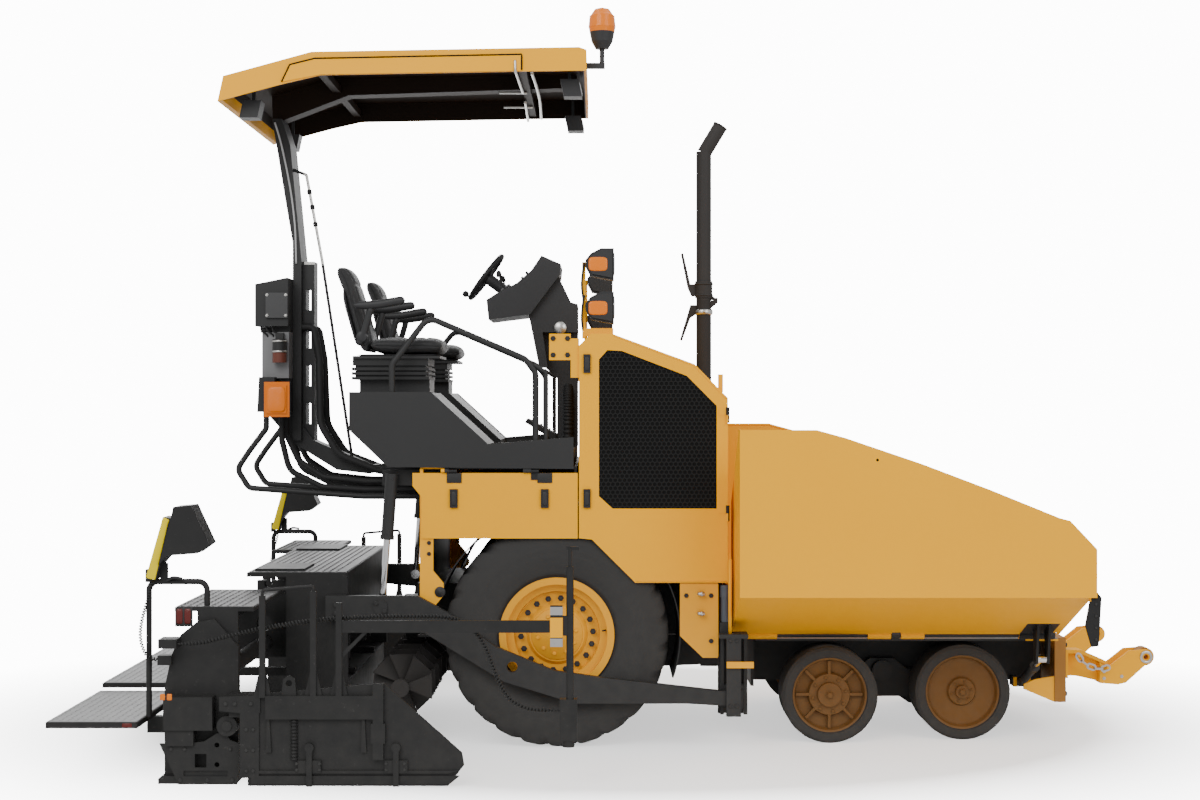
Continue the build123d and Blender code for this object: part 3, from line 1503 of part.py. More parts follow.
# Lift cylinders
lift_run = Vector(-45, 0, lift_bottom_z - lift_top_z)
with BuildPart() as lift_barrels:
    top = Vector(lift_x, -lift_y, lift_top_z)
    axis = lift_run.normalized()
    rod(tuple(top - axis * 20), tuple(top + axis * 300), 30)
    rod(tuple(top + axis * 280), tuple(top + axis * 300), 34)
    rod(tuple(top + axis * 40), tuple(top + axis * 301), 17 + pin_play, mode=Mode.SUBTRACT)
    side_disc(lift_x, lift_top_z, lift_pin_radius + pin_play, lift_y - 40, lift_y + 40, mode=Mode.SUBTRACT)
    mirror(about=Plane.XZ)
pieces["lift_barrels"] = lift_barrels
with BuildPart() as lift_rods:
    rod(tuple(top + axis * 262), tuple(top + lift_run), 17)
    side_disc(lift_x - 45, lift_bottom_z, 26, lift_y - 20, lift_y + 20)
    side_disc(lift_x - 45, lift_bottom_z, 14, lift_y + 20, arm_inner - gap)
    mirror(about=Plane.XZ)
pieces["lift_rods"] = lift_rods

os.makedirs("parts", exist_ok=True)
for name, piece in pieces.items():
    piece.part.label = name
    export_step(piece.part, f"parts/{name}.step")
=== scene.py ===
import math

import bmesh
import bpy
import numpy as np
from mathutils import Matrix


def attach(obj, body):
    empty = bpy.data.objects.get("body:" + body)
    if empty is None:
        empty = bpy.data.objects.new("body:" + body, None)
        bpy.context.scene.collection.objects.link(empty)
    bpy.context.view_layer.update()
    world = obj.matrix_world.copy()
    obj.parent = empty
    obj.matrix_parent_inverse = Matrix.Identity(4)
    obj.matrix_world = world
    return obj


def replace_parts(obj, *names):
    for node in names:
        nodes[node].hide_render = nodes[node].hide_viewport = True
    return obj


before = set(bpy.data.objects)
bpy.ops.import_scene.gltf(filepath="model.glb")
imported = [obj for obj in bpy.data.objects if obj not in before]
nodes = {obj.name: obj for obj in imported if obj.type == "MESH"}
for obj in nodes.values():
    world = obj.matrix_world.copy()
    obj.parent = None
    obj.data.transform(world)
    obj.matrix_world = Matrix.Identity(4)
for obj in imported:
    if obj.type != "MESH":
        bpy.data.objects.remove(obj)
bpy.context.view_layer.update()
sides = {"right": -1, "left": 1}
print("stage: frame loaded,", len(nodes), "nodes")

studio = {
    "cameraPlace": (-0.178, -10.0, 1.687),
    "lens": 56.67,
    "backdrop": 13.0,  # brightness of the room where the camera looks at it
    "roomLight": 0.80,  # brightness of the room as a lamp
    "floorHalf": 14,
    "floorColour": (0.93, 0.93, 0.925),
    "floorRough": 0.7,
    "floorReach": (3.4, 2.6),  # the floor is solid up to here and then fades into the room
    "fade": (0.70, 1.35),
    "solidity": 0.93,
    # place, aim, size and power of each soft lamp
    "lamps": (
        ((-3.8, -7.5, 6.5), (0, 0, 1.2), 5, 430),
        ((4.8, -6.5, 4.5), (0.8, 0, 1.0), 4, 200),
        ((0.0, 2.0, 8.5), (0, 0, 1.0), 6, 300),
        ((-2.0, 7.0, 4.0), (0, 0, 1.5), 5, 260),
    ),
}


def aimAt(obj, target):
    # turns an object's -Z axis towards the target
    away = np.array(target, float) - np.array(obj.location)
    obj.rotation_euler = (math.atan2(np.hypot(away[0], away[1]), -away[2]), 0, math.atan2(-away[0], away[1]))


def buildCamera():
    camera = bpy.data.objects.new("photoCamera", bpy.data.cameras.new("photoCamera"))
    camera.location = studio["cameraPlace"]
    camera.rotation_euler = (math.pi / 2, 0, 0)
    camera.data.lens = studio["lens"]
    bpy.context.scene.collection.objects.link(camera)
    bpy.context.scene.camera = camera


def buildRoom():
    for number, (place, aim, size, power) in enumerate(studio["lamps"]):
        light = bpy.data.lights.new(f"softLamp{number}", "AREA")
        light.energy, light.size = power, size
        lamp = bpy.data.objects.new(light.name, light)
        lamp.location = place
        bpy.context.scene.collection.objects.link(lamp)
        aimAt(lamp, aim)
    room = bpy.data.worlds.new("paleRoom")
    room.use_nodes = True
    tree = room.node_tree
    back = tree.nodes["Background"]
    back.inputs[0].default_value = (1, 1, 1, 1)
    seen = tree.nodes.new("ShaderNodeLightPath")
    level = tree.nodes.new("ShaderNodeMapRange")
    level.inputs["To Min"].default_value = studio["roomLight"]
    level.inputs["To Max"].default_value = studio["backdrop"]
    tree.links.new(seen.outputs["Is Camera Ray"], level.inputs["Value"])
    tree.links.new(level.outputs[0], back.inputs[1])
    bpy.context.scene.world = room
    half = studio["floorHalf"]
    corners = [(-half, -half, 0), (half, -half, 0), (half, half, 0), (-half, half, 0)]
    floor = makeObject("floor", corners, [(0, 1, 2, 3)])
    book = Book("paleFloor")
    x, y, _ = book.place()
    across, along = studio["floorReach"]
    reach = ((x / across) ** 2 + (y / along) ** 2) ** 0.5
    near, far = studio["fade"]
    share = book.clamp((far - reach) / (far - near)) * studio["solidity"]
    book.set("Base Color", studio["floorColour"])
    book.set("Roughness", studio["floorRough"])
    clear = book.node("BsdfTransparent")
    mixed = book.node("MixShader", {0: share, 1: clear, 2: Wire(book, book.shader.outputs[0])})
    book.plug(book.tree.nodes["Material Output"].inputs[0], mixed)
    floor.data.materials.append(book.material)


def makeObject(name, points, faces):
    mesh = bpy.data.meshes.new(name)
    mesh.from_pydata([tuple(p) for p in points], [], [tuple(f) for f in faces])
    obj = bpy.data.objects.new(name, mesh)
    bpy.context.scene.collection.objects.link(obj)
    return obj


def gridFaces(rows, columns, wrapRows, wrapColumns, start=0):
    # quads between neighbouring points of a rows by columns grid
    row = np.arange(rows if wrapRows else rows - 1)
    column = np.arange(columns if wrapColumns else columns - 1)
    r, c = np.meshgrid(row, column, indexing="ij")
    r2, c2 = (r + 1) % rows, (c + 1) % columns
    quads = np.stack([r * columns + c, r2 * columns + c, r2 * columns + c2, r * columns + c2], -1)
    return quads.reshape(-1, 4) + start


def around(count):
    # angles at equal steps round a circle
    return np.linspace(0, 2 * np.pi, count, endpoint=False)


def surfaces(name, patches, smooth=True, weld=1e-6):
    # patches: (points as a rows by columns by 3 array, wraps along rows, wraps along columns)
    points, quads = [], []
    for grid, wrapRows, wrapColumns in patches:
        quads += gridFaces(*grid.shape[:2], wrapRows, wrapColumns, len(points)).tolist()
        points += grid.reshape(-1, 3).tolist()
    obj = makeObject(name, points, quads)
    if weld:
        turnOutwards(obj, weld)
    obj.data.polygons.foreach_set("use_smooth", np.full(len(obj.data.polygons), smooth))
    return obj


def settle(obj, body, base, patches=()):
    # dresses a finished piece in its finish and lets it move with its body
    obj.data.materials.clear()
    obj.data.materials.append(finish(base, patches))
    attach(obj, body)
    return obj


def add(name, body, base, patches):
    return settle(surfaces(name, patches), body, base)


def roundEdges(obj, width, segments=2, sharpFrom=40):
    # rounds the edges where faces meet at more than sharpFrom degrees
    bevel = obj.modifiers.new("softEdge", "BEVEL")
    bevel.width, bevel.segments, bevel.angle_limit = width, segments, math.radians(sharpFrom)
    obj.data.polygons.foreach_set("use_smooth", np.full(len(obj.data.polygons), True))
    return obj


def spun(profile, centre, axis="y", steps=48, side=1, closed=False):
    # a profile of (along, radius) pairs turned about an axis through centre: along + radius * (cos, sin)
    profile = np.array(profile, float)
    angle = around(steps)[:, None]
    radius = profile[None, :, 1]
    one, two = radius * np.cos(angle), radius * np.sin(angle)
    along = np.broadcast_to(side * profile[None, :, 0], one.shape)
    order = {"x": (along, one, two), "y": (one, along, two), "z": (one, two, along)}[axis]
    return np.stack(order, -1) + np.array(centre), True, closed


def placed(patch, places, turn=np.eye(3)):
    # copies of a patch, turned by three unit vectors and moved to each place
    return [(patch[0] @ turn + np.array(place), *patch[1:]) for place in places]


def leaning(axis):
    # three unit vectors: across, up and the axis itself
    axis = np.array(axis, float) / np.linalg.norm(axis)
    across = np.cross((0, 0, 1) if abs(axis[2]) < 0.9 else (1, 0, 0), axis)
    across /= np.linalg.norm(across)
    return np.stack([across, np.cross(axis, across), axis])


def dome(centre, axis, halves, height, power=2.5, rings=8, steps=36):
    # a pillow with a flat back: a superellipse that rises as one less the radius to the fourth
    brim = 0.4  # share of the height at the outline
    angle = around(steps)
    c, s = np.cos(angle), np.sin(angle)
    edge = (np.abs(c) ** power + np.abs(s) ** power) ** (-1 / power)
    share = np.linspace(1, 0, rings)
    reach = np.concatenate([[0, 1], share])[:, None]
    lift = np.concatenate([[0, 0], height * (brim + (1 - brim) * (1 - share**4))])[:, None]
    local = np.stack([reach * edge * c * halves[0], reach * edge * s * halves[1], lift + 0 * angle], -1)
    return local @ leaning(axis) + np.array(centre), False, True


def domes(side, places, *shape):
    # pillows of one shape that look outwards, at places given as X, distance out and Z
    return [dome((x, side * out, z), (0, side, 0), *shape) for x, out, z in places]


def smoothPath(points, count):
    # a curve through the points: each span blends the parabolas of its neighbours
    points = np.array(points, float)
    padded = np.vstack([2 * points[0] - points[1], points, 2 * points[-1] - points[-2]])
    where = np.linspace(0, len(points) - 1 - 1e-9, count)
    index, t = where.astype(int), (where % 1)[:, None]
    a, b, c, d = (padded[index + k] for k in range(4))
    return 0.5 * (2 * b + (c - a) * t + (2 * a - 5 * b + 4 * c - d) * t**2 + (3 * b - a - 3 * c + d) * t**3)


def frames(path):
    # tangent, side and up vectors that turn as little as they can along the path
    tangent = np.gradient(path, axis=0)
    tangent /= np.linalg.norm(tangent, axis=1)[:, None]
    guide = np.array([0, 1, 0]) if abs(tangent[0][1]) < 0.8 else np.array([1, 0, 0])
    side = np.empty_like(tangent)
    for i, way in enumerate(tangent):
        guide = guide - way * (guide @ way)
        guide = guide / np.linalg.norm(guide)
        side[i] = guide
    return tangent, side, np.cross(tangent, side)


def tubeGrid(path, radius, sides=14):
    # circles of the given radius set square to the path, closed by a point at each end
    path = np.array(path, float)
    _, side, up = frames(path)
    radius = np.broadcast_to(np.asarray(radius, float), len(path))
    angle = around(sides)
    ring = side[:, None] * np.cos(angle)[:, None] + up[:, None] * np.sin(angle)[:, None]
    grid = path[:, None] + ring * radius[:, None, None]
    first = np.broadcast_to(path[0], grid[:1].shape)
    last = np.broadcast_to(path[-1], grid[:1].shape)
    return np.concatenate([first, grid, last]), False, True


def pipe(side, points, count, radius, ring):
    # a tube along a smooth curve through points given as X, distance out and Z
    return tubeGrid(smoothPath([(x, side * out, z) for x, out, z in points], count), radius, ring)


def divided(points, parts):
    # the same line with each of its stretches cut into equal parts
    points = np.array(points)
    runs = [np.linspace(a, b, parts, endpoint=False) for a, b in zip(points[:-1], points[1:])]
    return np.concatenate([*runs, points[-1:]])


def turnOutwards(obj, weld=0):
    # joins points that lie closer than weld and turns every face outwards
    work = bmesh.new()
    work.from_mesh(obj.data)
    if weld:
        bmesh.ops.remove_doubles(work, verts=work.verts, dist=weld)
    bmesh.ops.recalc_face_normals(work, faces=work.faces)
    work.to_mesh(obj.data)
    work.free()
    return obj


def prism(name, outline, limits):
    # an outline in X and Z carried between two Y limits
    count = len(outline)
    points = [(x, y, z) for y in limits for x, z in outline]
    faces = [range(count), range(2 * count - 1, count - 1, -1)]
    faces += [(i, (i + 1) % count, (i + 1) % count + count, i + count) for i in range(count)]
    return turnOutwards(makeObject(name, points, faces))


boxFaces = np.array([(0, 1, 3, 2), (4, 6, 7, 5), (0, 4, 5, 1), (2, 3, 7, 6), (0, 2, 6, 4), (1, 5, 7, 3)])


def bricks(name, boxes):
    # several boxes, each as (x0, x1, y0, y1, z0, z1), in one object
    pick = np.array([(x, y, z) for x in (0, 1) for y in (2, 3) for z in (4, 5)])
    points = np.array(boxes, float)[:, pick].reshape(-1, 3)
    faces = (boxFaces + np.arange(len(boxes))[:, None, None] * 8).reshape(-1, 4)
    return turnOutwards(makeObject(name, points, faces))


def span(side, inner, outer):
    # Y limits of a piece on one side, lowest first
    return tuple(sorted((side * inner, side * outer)))


boltShape = {
    # radius and height of each ring, as shares of the bolt's size, with and without a washer
    True: ((1.35, 0), (1.35, 0.22), (1.0, 0.24), (1.0, 0.85), (0.82, 1.0), (0, 1.0)),
    False: ((1.0, 0), (1.0, 0.7), (0.82, 0.85), (0, 0.85)),
}


def bolts(name, places, washer=True):
    # hexagon heads; places: X, Y, Z, the way the head looks and its size
    angle = np.radians(np.arange(6) * 60)
    shape = np.array([[(math.cos(a) * r, math.sin(a) * r, h) for a in angle] for r, h in boltShape[washer]])
    patches = [(shape * size @ leaning(way) + np.array(place), False, True) for *place, way, size in places]
    return surfaces(name, patches, smooth=False)


def studs(name, body, base, side, rows):
    # bolts that look outwards; each row: X places, distance out, Z places and size
    places = [(x, side * out, z, (0, side, 0), size) for xs, out, zs, size in rows for x in xs for z in zs]
    return settle(bolts(name, places), body, base)


def ringOf(side, centre, radius, out, count, turn, size):
    # bolt places on a circle about an axle along Y
    x, z = centre
    return [(x + radius * math.cos(angle), side * out, z + radius * math.sin(angle), (0, side, 0), size)
            for angle in np.radians(np.arange(count) * 360 / count + turn)]


def operator(operation, swapped=False):
    # a method that adds the maths node of an operation, with its values as they come or the other way round
    def method(*values):
        return values[0].book.maths(operation, *values[::-1 if swapped else 1])
    return method


class Wire:
    # a socket that can stand in sums and products
    def __init__(self, book, socket):
        self.book, self.socket = book, socket

    __add__ = __radd__ = operator("ADD")
    __sub__, __rsub__ = operator("SUBTRACT"), operator("SUBTRACT", swapped=True)
    __mul__ = __rmul__ = operator("MULTIPLY")
    __truediv__ = operator("DIVIDE")
    __pow__ = operator("POWER")
    __abs__ = operator("ABSOLUTE")
    __lt__ = operator("LESS_THAN")
    __gt__ = operator("GREATER_THAN")


class Book:
    # one material and its nodes
    def __init__(self, name):
        self.material = bpy.data.materials.new(name)
        self.material.use_nodes = True
        self.tree = self.material.node_tree
        self.shader = self.tree.nodes["Principled BSDF"]

    def plug(self, socket, value):
        if isinstance(value, Wire):
            self.tree.links.new(value.socket, socket)
        elif isinstance(value, (tuple, list)) and socket.type == "RGBA" and len(value) == 3:
            socket.default_value = (*value, 1)
        else:
            socket.default_value = value

    def node(self, kind, sockets=None, settings=None, output=0):
        # adds a node: its settings first, then the values or links of its sockets
        made = self.tree.nodes.new("ShaderNode" + kind)
        for name, value in (settings or {}).items():
            setattr(made, name, value)
        for name, value in (sockets or {}).items():
            self.plug(made.inputs[name], value)
        return Wire(self, made.outputs[output])

    def maths(self, operation, *values):
        return self.node("Math", dict(enumerate(values)), {"operation": operation})

    def clamp(self, value):
        return self.node("Clamp", {0: value})

    def mix(self, share, first, second):
        return self.node("Mix", {0: share, 6: first, 7: second}, {"data_type": "RGBA"}, output=2)

    def noise(self, place, scale, detail, roughness=0.55):
        sockets = {"Vector": place, "Scale": scale, "Detail": detail, "Roughness": roughness}
        return self.node("TexNoise", sockets)

    def place(self):
        # the three Object coordinates as numbers, and the vector itself kept for textures
        self.spot = self.node("TexCoord", output=3)
        return [self.node("SeparateXYZ", {0: self.spot}, output=k) for k in range(3)]

    def set(self, name, value):
        self.plug(self.shader.inputs[name], value)


finishColumns = ("colour", "tint", "rough", "metal", "coat", "gloss", "grain", "relief", "dust", "pattern")
finishes = {
    # colour, second colour, roughness, metal, coat, specular level, grain scale, relief, dust, pattern
    "goldPaint": ((0.92, 0.425, 0.0015), (0.89, 0.395, 0.0015), 0.45, 0, 0, 0.14, 240, 0.010, 0.03, ""),
    "rimPaint": ((0.90, 0.41, 0.010), (0.66, 0.29, 0.010), 0.46, 0, 0, 0.2, 180, 0.03, 0.08, ""),
    # the small rims' paint darkened to a brown: painted shade on the front wheels
    "shadedSmallRimPaint": ((0.190, 0.083, 0.011), (0.100, 0.046, 0.010), 0.55, 0, 0, 0.2, 170, 0.04, 0.10, ""),
    "rustGold": ((0.42, 0.185, 0.020), (0.24, 0.10, 0.018), 0.50, 0, 0, 0.25, 120, 0.05, 0.06, "scuffed"),
    "darkPaint": ((0.026, 0.026, 0.026), (0.018, 0.018, 0.0185), 0.50, 0, 0, 0.28, 260, 0.03, 0.06, ""),
    "screedPaint": (
        (0.0185, 0.0185, 0.0185), (0.013, 0.013, 0.0133), 0.5, 0, 0, 0.22, 240, 0.03, 0.05, "scuffed",
    ),
    "slatePaint": (
        (0.027, 0.027, 0.0273), (0.0215, 0.0215, 0.0219), 0.46, 0, 0.02, 0.26, 260, 0.02, 0.04, "",
    ),
    "steelBlue": ((0.085, 0.098, 0.118), (0.064, 0.074, 0.090), 0.42, 0, 0.02, 0.3, 240, 0.02, 0.04, ""),
    "stackPaint": ((0.036, 0.033, 0.031), (0.024, 0.022, 0.021), 0.62, 0, 0, 0.25, 320, 0.06, 0.04, ""),
    "tyreRubber": ((0.024, 0.024, 0.0243), (0.034, 0.033, 0.032), 0.74, 0, 0, 0.26, 420, 0.10, 0.08, ""),
    "softRubber": ((0.015, 0.015, 0.0155), (0.022, 0.022, 0.022), 0.60, 0, 0, 0.24, 300, 0.06, 0.04, ""),
    "blackPlastic": ((0.022, 0.022, 0.023), (0.030, 0.030, 0.031), 0.46, 0, 0, 0.28, 900, 0.08, 0.03, ""),
    "grilleBlack": ((0.010, 0.010, 0.010), (0.0125, 0.0125, 0.0125), 0.55, 0, 0, 0.14, 500, 0.02, 0.02, ""),
    "deepBlack": ((0.003, 0.003, 0.003), (0.004, 0.004, 0.004), 0.8, 0, 0, 0.1, 200, 0.01, 0, ""),
    "vinyl": ((0.027, 0.027, 0.028), (0.036, 0.036, 0.037), 0.52, 0, 0.04, 0.3, 620, 0.10, 0.02, "leather"),
    # near-black brown for the roof's underside: painted shade
    "undersideShade": ((0.018, 0.009, 0.004), (0.010, 0.005, 0.003), 0.55, 0, 0, 0.2, 90, 0.01, 0, ""),
    "greyPlastic": ((0.20, 0.20, 0.203), (0.16, 0.16, 0.163), 0.45, 0, 0, 0.35, 500, 0.05, 0.03, ""),
    "paleGrey": ((0.46, 0.46, 0.46), (0.38, 0.38, 0.385), 0.45, 0, 0, 0.35, 400, 0.03, 0.03, ""),
    "walkSteel": ((0.29, 0.29, 0.292), (0.23, 0.23, 0.233), 0.50, 0.1, 0, 0.35, 180, 0.05, 0.05, "scuffed"),
    "deckSteel": ((0.060, 0.060, 0.061), (0.044, 0.044, 0.045), 0.48, 0, 0, 0.3, 200, 0.05, 0.06, "scuffed"),
    "wornSteel": ((0.20, 0.19, 0.18), (0.08, 0.075, 0.07), 0.42, 0.85, 0, 0.5, 130, 0.10, 0.10, "brushed"),
    "zincSteel": ((0.62, 0.61, 0.58), (0.44, 0.43, 0.41), 0.32, 0.95, 0, 0.5, 260, 0.03, 0.02, ""),
    "chrome": ((0.80, 0.80, 0.81), (0.70, 0.70, 0.72), 0.10, 1.0, 0, 0.5, 300, 0.004, 0, "brushed"),
    "amberLens": ((0.80, 0.200, 0.002), (0.68, 0.150, 0.002), 0.20, 0, 0.2, 0.25, 60, 0.01, 0, "lens"),
    "redLens": ((0.120, 0.012, 0.009), (0.085, 0.009, 0.007), 0.22, 0, 0.2, 0.3, 60, 0.01, 0, "lens"),
    "clearLens": ((0.52, 0.54, 0.56), (0.36, 0.38, 0.40), 0.12, 0.1, 0.6, 0.5, 60, 0.01, 0, "lens"),
    "handYellow": ((0.80, 0.62, 0.001), (0.74, 0.57, 0.001), 0.42, 0, 0, 0.15, 400, 0.03, 0, ""),
    "redOxide": ((0.16, 0.045, 0.028), (0.10, 0.030, 0.020), 0.45, 0, 0, 0.3, 200, 0.03, 0.02, ""),
}
shadedUnderside = "undersideShade"  # painted shade under the roof: a near-black brown that covers only faces that don't look up
# painted light: every amber lens and reflector glows faintly
paintedGlows = {"amberLens": (0.9, 0.20, 0.004)}
textures = {
    "broad": (2.2, 4), "middle": (19, 4), "fineDetail": 2,  # scale and detail of the noises
    # the last value here is the strength of the painted glow on amber lenses
    "roughSpread": 0.12, "middleRelief": 0.6, "bump": 0.004, "paintedGlowStrength": 0.06,
    "scuff": (46, 8, 0.75), "scuffFrom": 0.61, "scuffSlope": 9, "scuffShare": 0.16, "scuffRough": 0.1,
    "scuffColour": (0.20, 0.19, 0.18),
    "stretch": (1, 9, 9), "streak": (26, 6, 0.7), "streakRough": 1.2,
    # dust is thickest on the floor and thins out upwards
    "dustTop": 1.1, "dustFall": 0.8, "dustNoise": 1.6, "dustFrom": 0.25, "dustRough": 1.2,
    "dustColour": (0.26, 0.24, 0.21),
    "creaseScale": 330, "creaseSlope": 3.0, "creaseRelief": 0.35,
    "prismLean": 0.3, "prismPitch": 0.0035, "prismRelief": 40,
}
madeFinishes = {}


def lookOf(name):
    return dict(zip(finishColumns, finishes[name]))


def boxMask(x, y, z, limits):
    # 1 inside the box, whose Y limits count from the middle plane
    inX, inY, inZ = (abs(value - (low + high) / 2) < (high - low) / 2
                     for value, low, high in zip((x, abs(y), z), limits[::2], limits[1::2]))
    return inX * inY * inZ


def ringMask(x, z, region):
    # 1 where the distance from an axle along Y lies between two radii
    axleX, axleZ, inner, outer = region
    reach = ((x - axleX) ** 2 + (z - axleZ) ** 2) ** 0.5
    return abs(reach - (inner + outer) / 2) < (outer - inner) / 2


def makeFinish(base, patches):
    look, t = lookOf(base), textures
    book = Book(base if not patches else f"{base}{len(madeFinishes)}")
    x, y, z = book.place()
    broad, middle = book.noise(book.spot, *t["broad"]), book.noise(book.spot, *t["middle"])
    fine = book.noise(book.spot, look["grain"], t["fineDetail"])
    colour = book.mix(broad, look["colour"], look["tint"])
    rough, metal = look["rough"] + (middle - 0.5) * t["roughSpread"], look["metal"]
    for other, *region in patches:
        second = lookOf(other)
        mask = boxMask(x, y, z, region) if len(region) == 6 else ringMask(x, z, region)
        # the painted shade under the roof reaches only faces that don't look up
        if other == shadedUnderside:
            upward = book.node("SeparateXYZ", {0: book.node("NewGeometry", output=1)}, output=2)
            mask = mask * (upward < 0.5)
        colour = book.mix(mask, colour, book.mix(broad, second["colour"], second["tint"]))
        rough = rough + (second["rough"] - rough) * mask
        if second["metal"] or isinstance(metal, Wire):
            metal = metal + (second["metal"] - metal) * mask
    if look["pattern"] == "scuffed":
        scuffs = book.clamp((book.noise(book.spot, *t["scuff"]) - t["scuffFrom"]) * t["scuffSlope"])
        colour = book.mix(scuffs * t["scuffShare"], colour, t["scuffColour"])
        rough = rough - scuffs * t["scuffRough"]
    if look["pattern"] == "brushed":
        streak = book.noise(book.node("Mapping", {"Vector": book.spot, "Scale": t["stretch"]}), *t["streak"])
        rough = rough + (streak - 0.5) * look["rough"] * t["streakRough"]
    if look["dust"]:
        low = book.clamp((t["dustTop"] - z * t["dustFall"]) * (middle * t["dustNoise"] - t["dustFrom"]))
        colour = book.mix(low * look["dust"], colour, t["dustColour"])
        rough = rough + low * look["dust"] * t["dustRough"]
    height = fine * look["relief"] + middle * (look["relief"] * t["middleRelief"])
    if look["pattern"] == "leather":
        cells = {"Vector": book.spot, "Scale": t["creaseScale"]}
        creases = book.node("TexVoronoi", cells, {"feature": "DISTANCE_TO_EDGE"})
        height = height + book.clamp(creases * t["creaseSlope"]) * t["creaseRelief"]
    if look["pattern"] == "lens":
        height = height + book.maths("PINGPONG", z + x * t["prismLean"], t["prismPitch"]) * t["prismRelief"]
    book.set("Base Color", colour)
    book.set("Roughness", rough)
    book.set("Metallic", metal)
    book.set("Coat Weight", look["coat"])
    book.set("Specular IOR Level", look["gloss"])
    # a faint painted glow for the amber finish
    if base in paintedGlows:
        book.set("Emission Color", paintedGlows[base])
        book.set("Emission Strength", t["paintedGlowStrength"])
    book.set("Normal", book.node("Bump", {"Strength": 1.0, "Distance": t["bump"], "Height": height}))
    return book.material


def finish(base, patches=()):
    # patches: finish, then X, Y and Z limits or an axle and two radii; a later patch covers an earlier one
    key = (base, patches)
    if key not in madeFinishes:
        madeFinishes[key] = makeFinish(base, patches)
    return madeFinishes[key]


driveAxle, wheelA, wheelB = (-0.388, 0.545), (0.953, 0.235), (1.624, 0.235)
nodePaint = {
    # finish of each CAD node, then its patches: finish and X, Y and Z limits, or finish, axle and two radii;
    # sides and numbers are left off the names
    "main_frame": (
        "darkPaint",
        ("goldPaint", -1.06, -0.93, 0.80, 0.90, 0.5, 1.36),
        # the bracket ahead of the drive wheel in the darker rim paint: painted shade of its recess
        ("rimPaint", 0.15, 0.42, 0.70, 0.90, 0.4, 0.9),
        ("goldPaint", 1.94, 2.103, 0.30, 0.60, 0.15, 0.5),
        ("rustGold", 2.103, 2.2, 0.0, 0.60, 0.15, 0.5),
        ("goldPaint", 0.44, 0.462, 0.0, 0.66, 0.75, 1.52),
        ("wornSteel", -1.2, 2.104, 0.0, 0.60, 0.498, 0.506),
    ),
    "push_arms": ("goldPaint",),
    "push_roller": ("rustGold",),
    "safety_chains": ("zincSteel",),
    "conveyors": ("wornSteel",),
    "hopper_wing": (
        "goldPaint",
        ("softRubber", 2.1007, 2.2, 1.20, 1.2395, 0.5, 0.82),
        ("softRubber", 2.07, 2.1015, 1.215, 1.2395, 0.5, 0.752),
        ("darkPaint", 1.9, 2.06, 0.6, 0.85, 0.38, 0.60),
    ),
    "wing_rod": ("chrome",),
    "hood_shell": (
        "goldPaint",
        ("stackPaint", 0.24, 0.46, 0.0, 0.07, 1.75, 2.30),
        ("darkPaint", 0.4405, 0.46, 0.8555, 0.90, 1.0, 1.75),
    ),
    "hood_door": (
        "goldPaint",
        # the door's face behind the honeycomb in deep black: painted shade behind the grille
        ("deepBlack", -0.2, 0.4, 0.8562, 0.8599, 1.15, 1.94),
        ("blackPlastic", -0.262, -0.22, 0.8637, 0.89, 1.10, 1.95),
        ("darkPaint", 0.431, 0.46, 0.8637, 0.90, 1.0, 1.75),
    ),
    "rear_panel": (
        "goldPaint",
        ("blackPlastic", -1.0, -0.40, 0.8637, 0.89, 1.15, 1.27),
        ("darkPaint", -1.0, -0.40, 0.8637, 0.91, 1.30, 1.38),
    ),
    "arch_liners": ("softRubber",),
    "platform": (
        "slatePaint",
        ("softRubber", -1.45, -0.9, 0.3, 0.9, 1.785, 1.888),
        ("softRubber", -0.60, -0.39, 0.0, 0.14, 1.45, 1.62),
        ("deckSteel", -1.21, -0.30, 0.0, 0.866, 1.4445, 1.46),
    ),
    "console": ("blackPlastic",),
    "canopy_mast": ("darkPaint", ("zincSteel", -1.735, -1.60, 0.055, 0.085, 2.40, 2.93)),
    # the roof's faces that don't look up in near-black brown: painted shade under the roof
    "canopy_roof": ("goldPaint", (shadedUnderside, -2.012, -0.255, 0.0, 0.7775, 3.0, 3.43)),
    "lamps": ("blackPlastic", ("amberLens", -0.25, -0.09, 0.60, 0.80, 3.497, 3.7)),
    "exhaust_stack": ("stackPaint",),
    "rear_cabinet": (
        "darkPaint",
        ("greyPlastic", -1.93, -1.78, 0.0, 0.232, 1.80, 2.04),
        ("amberLens", -1.90, -1.77, 0.3172, 0.34, 1.6, 1.78),
        ("redOxide", -1.87, -1.79, 0.2326, 0.30, 1.87, 1.932),
        ("deckSteel", -1.91, -1.78, 0.2605, 0.28, 2.10, 2.25),
    ),
    "rear_hoses": ("softRubber",),
    "tow_guides": (
        "darkPaint",
        ("steelBlue", 0.40, 0.46, 0.79, 0.87, 0.612, 0.80),
        ("goldPaint", 0.42, 0.57, 0.9245, 0.96, 0.39, 0.44),
    ),
    "screed_body": ("screedPaint",),
    "extension": ("screedPaint",),
    "end_gate": (
        "screedPaint",
        ("goldPaint", -0.396, -0.34, 1.74, 1.78, 0.652, 0.739),
        ("zincSteel", -0.396, -0.34, 1.74, 1.78, 0.750, 0.786),
        ("zincSteel", -0.396, -0.34, 1.74, 1.78, 0.612, 0.648),
    ),
    "auger": ("stackPaint",),
    "lift_rods": ("chrome",),
    "rear_rim": ("rimPaint",),
    # the small rims take the darker brown: painted shade on the front wheels
    "front_wheel_a": ("tyreRubber", ("shadedSmallRimPaint", *wheelA, 0, 0.183)),
    "front_wheel_b": ("tyreRubber", ("shadedSmallRimPaint", *wheelB, 0, 0.183)),
}


def paintNodes():
    for name, obj in nodes.items():
        stem = name.removesuffix("_right").removesuffix("_left")
        base, *patches = nodePaint.get(stem, ("darkPaint",))
        obj.data.materials.clear()
        obj.data.materials.append(finish(base, tuple(patches)))


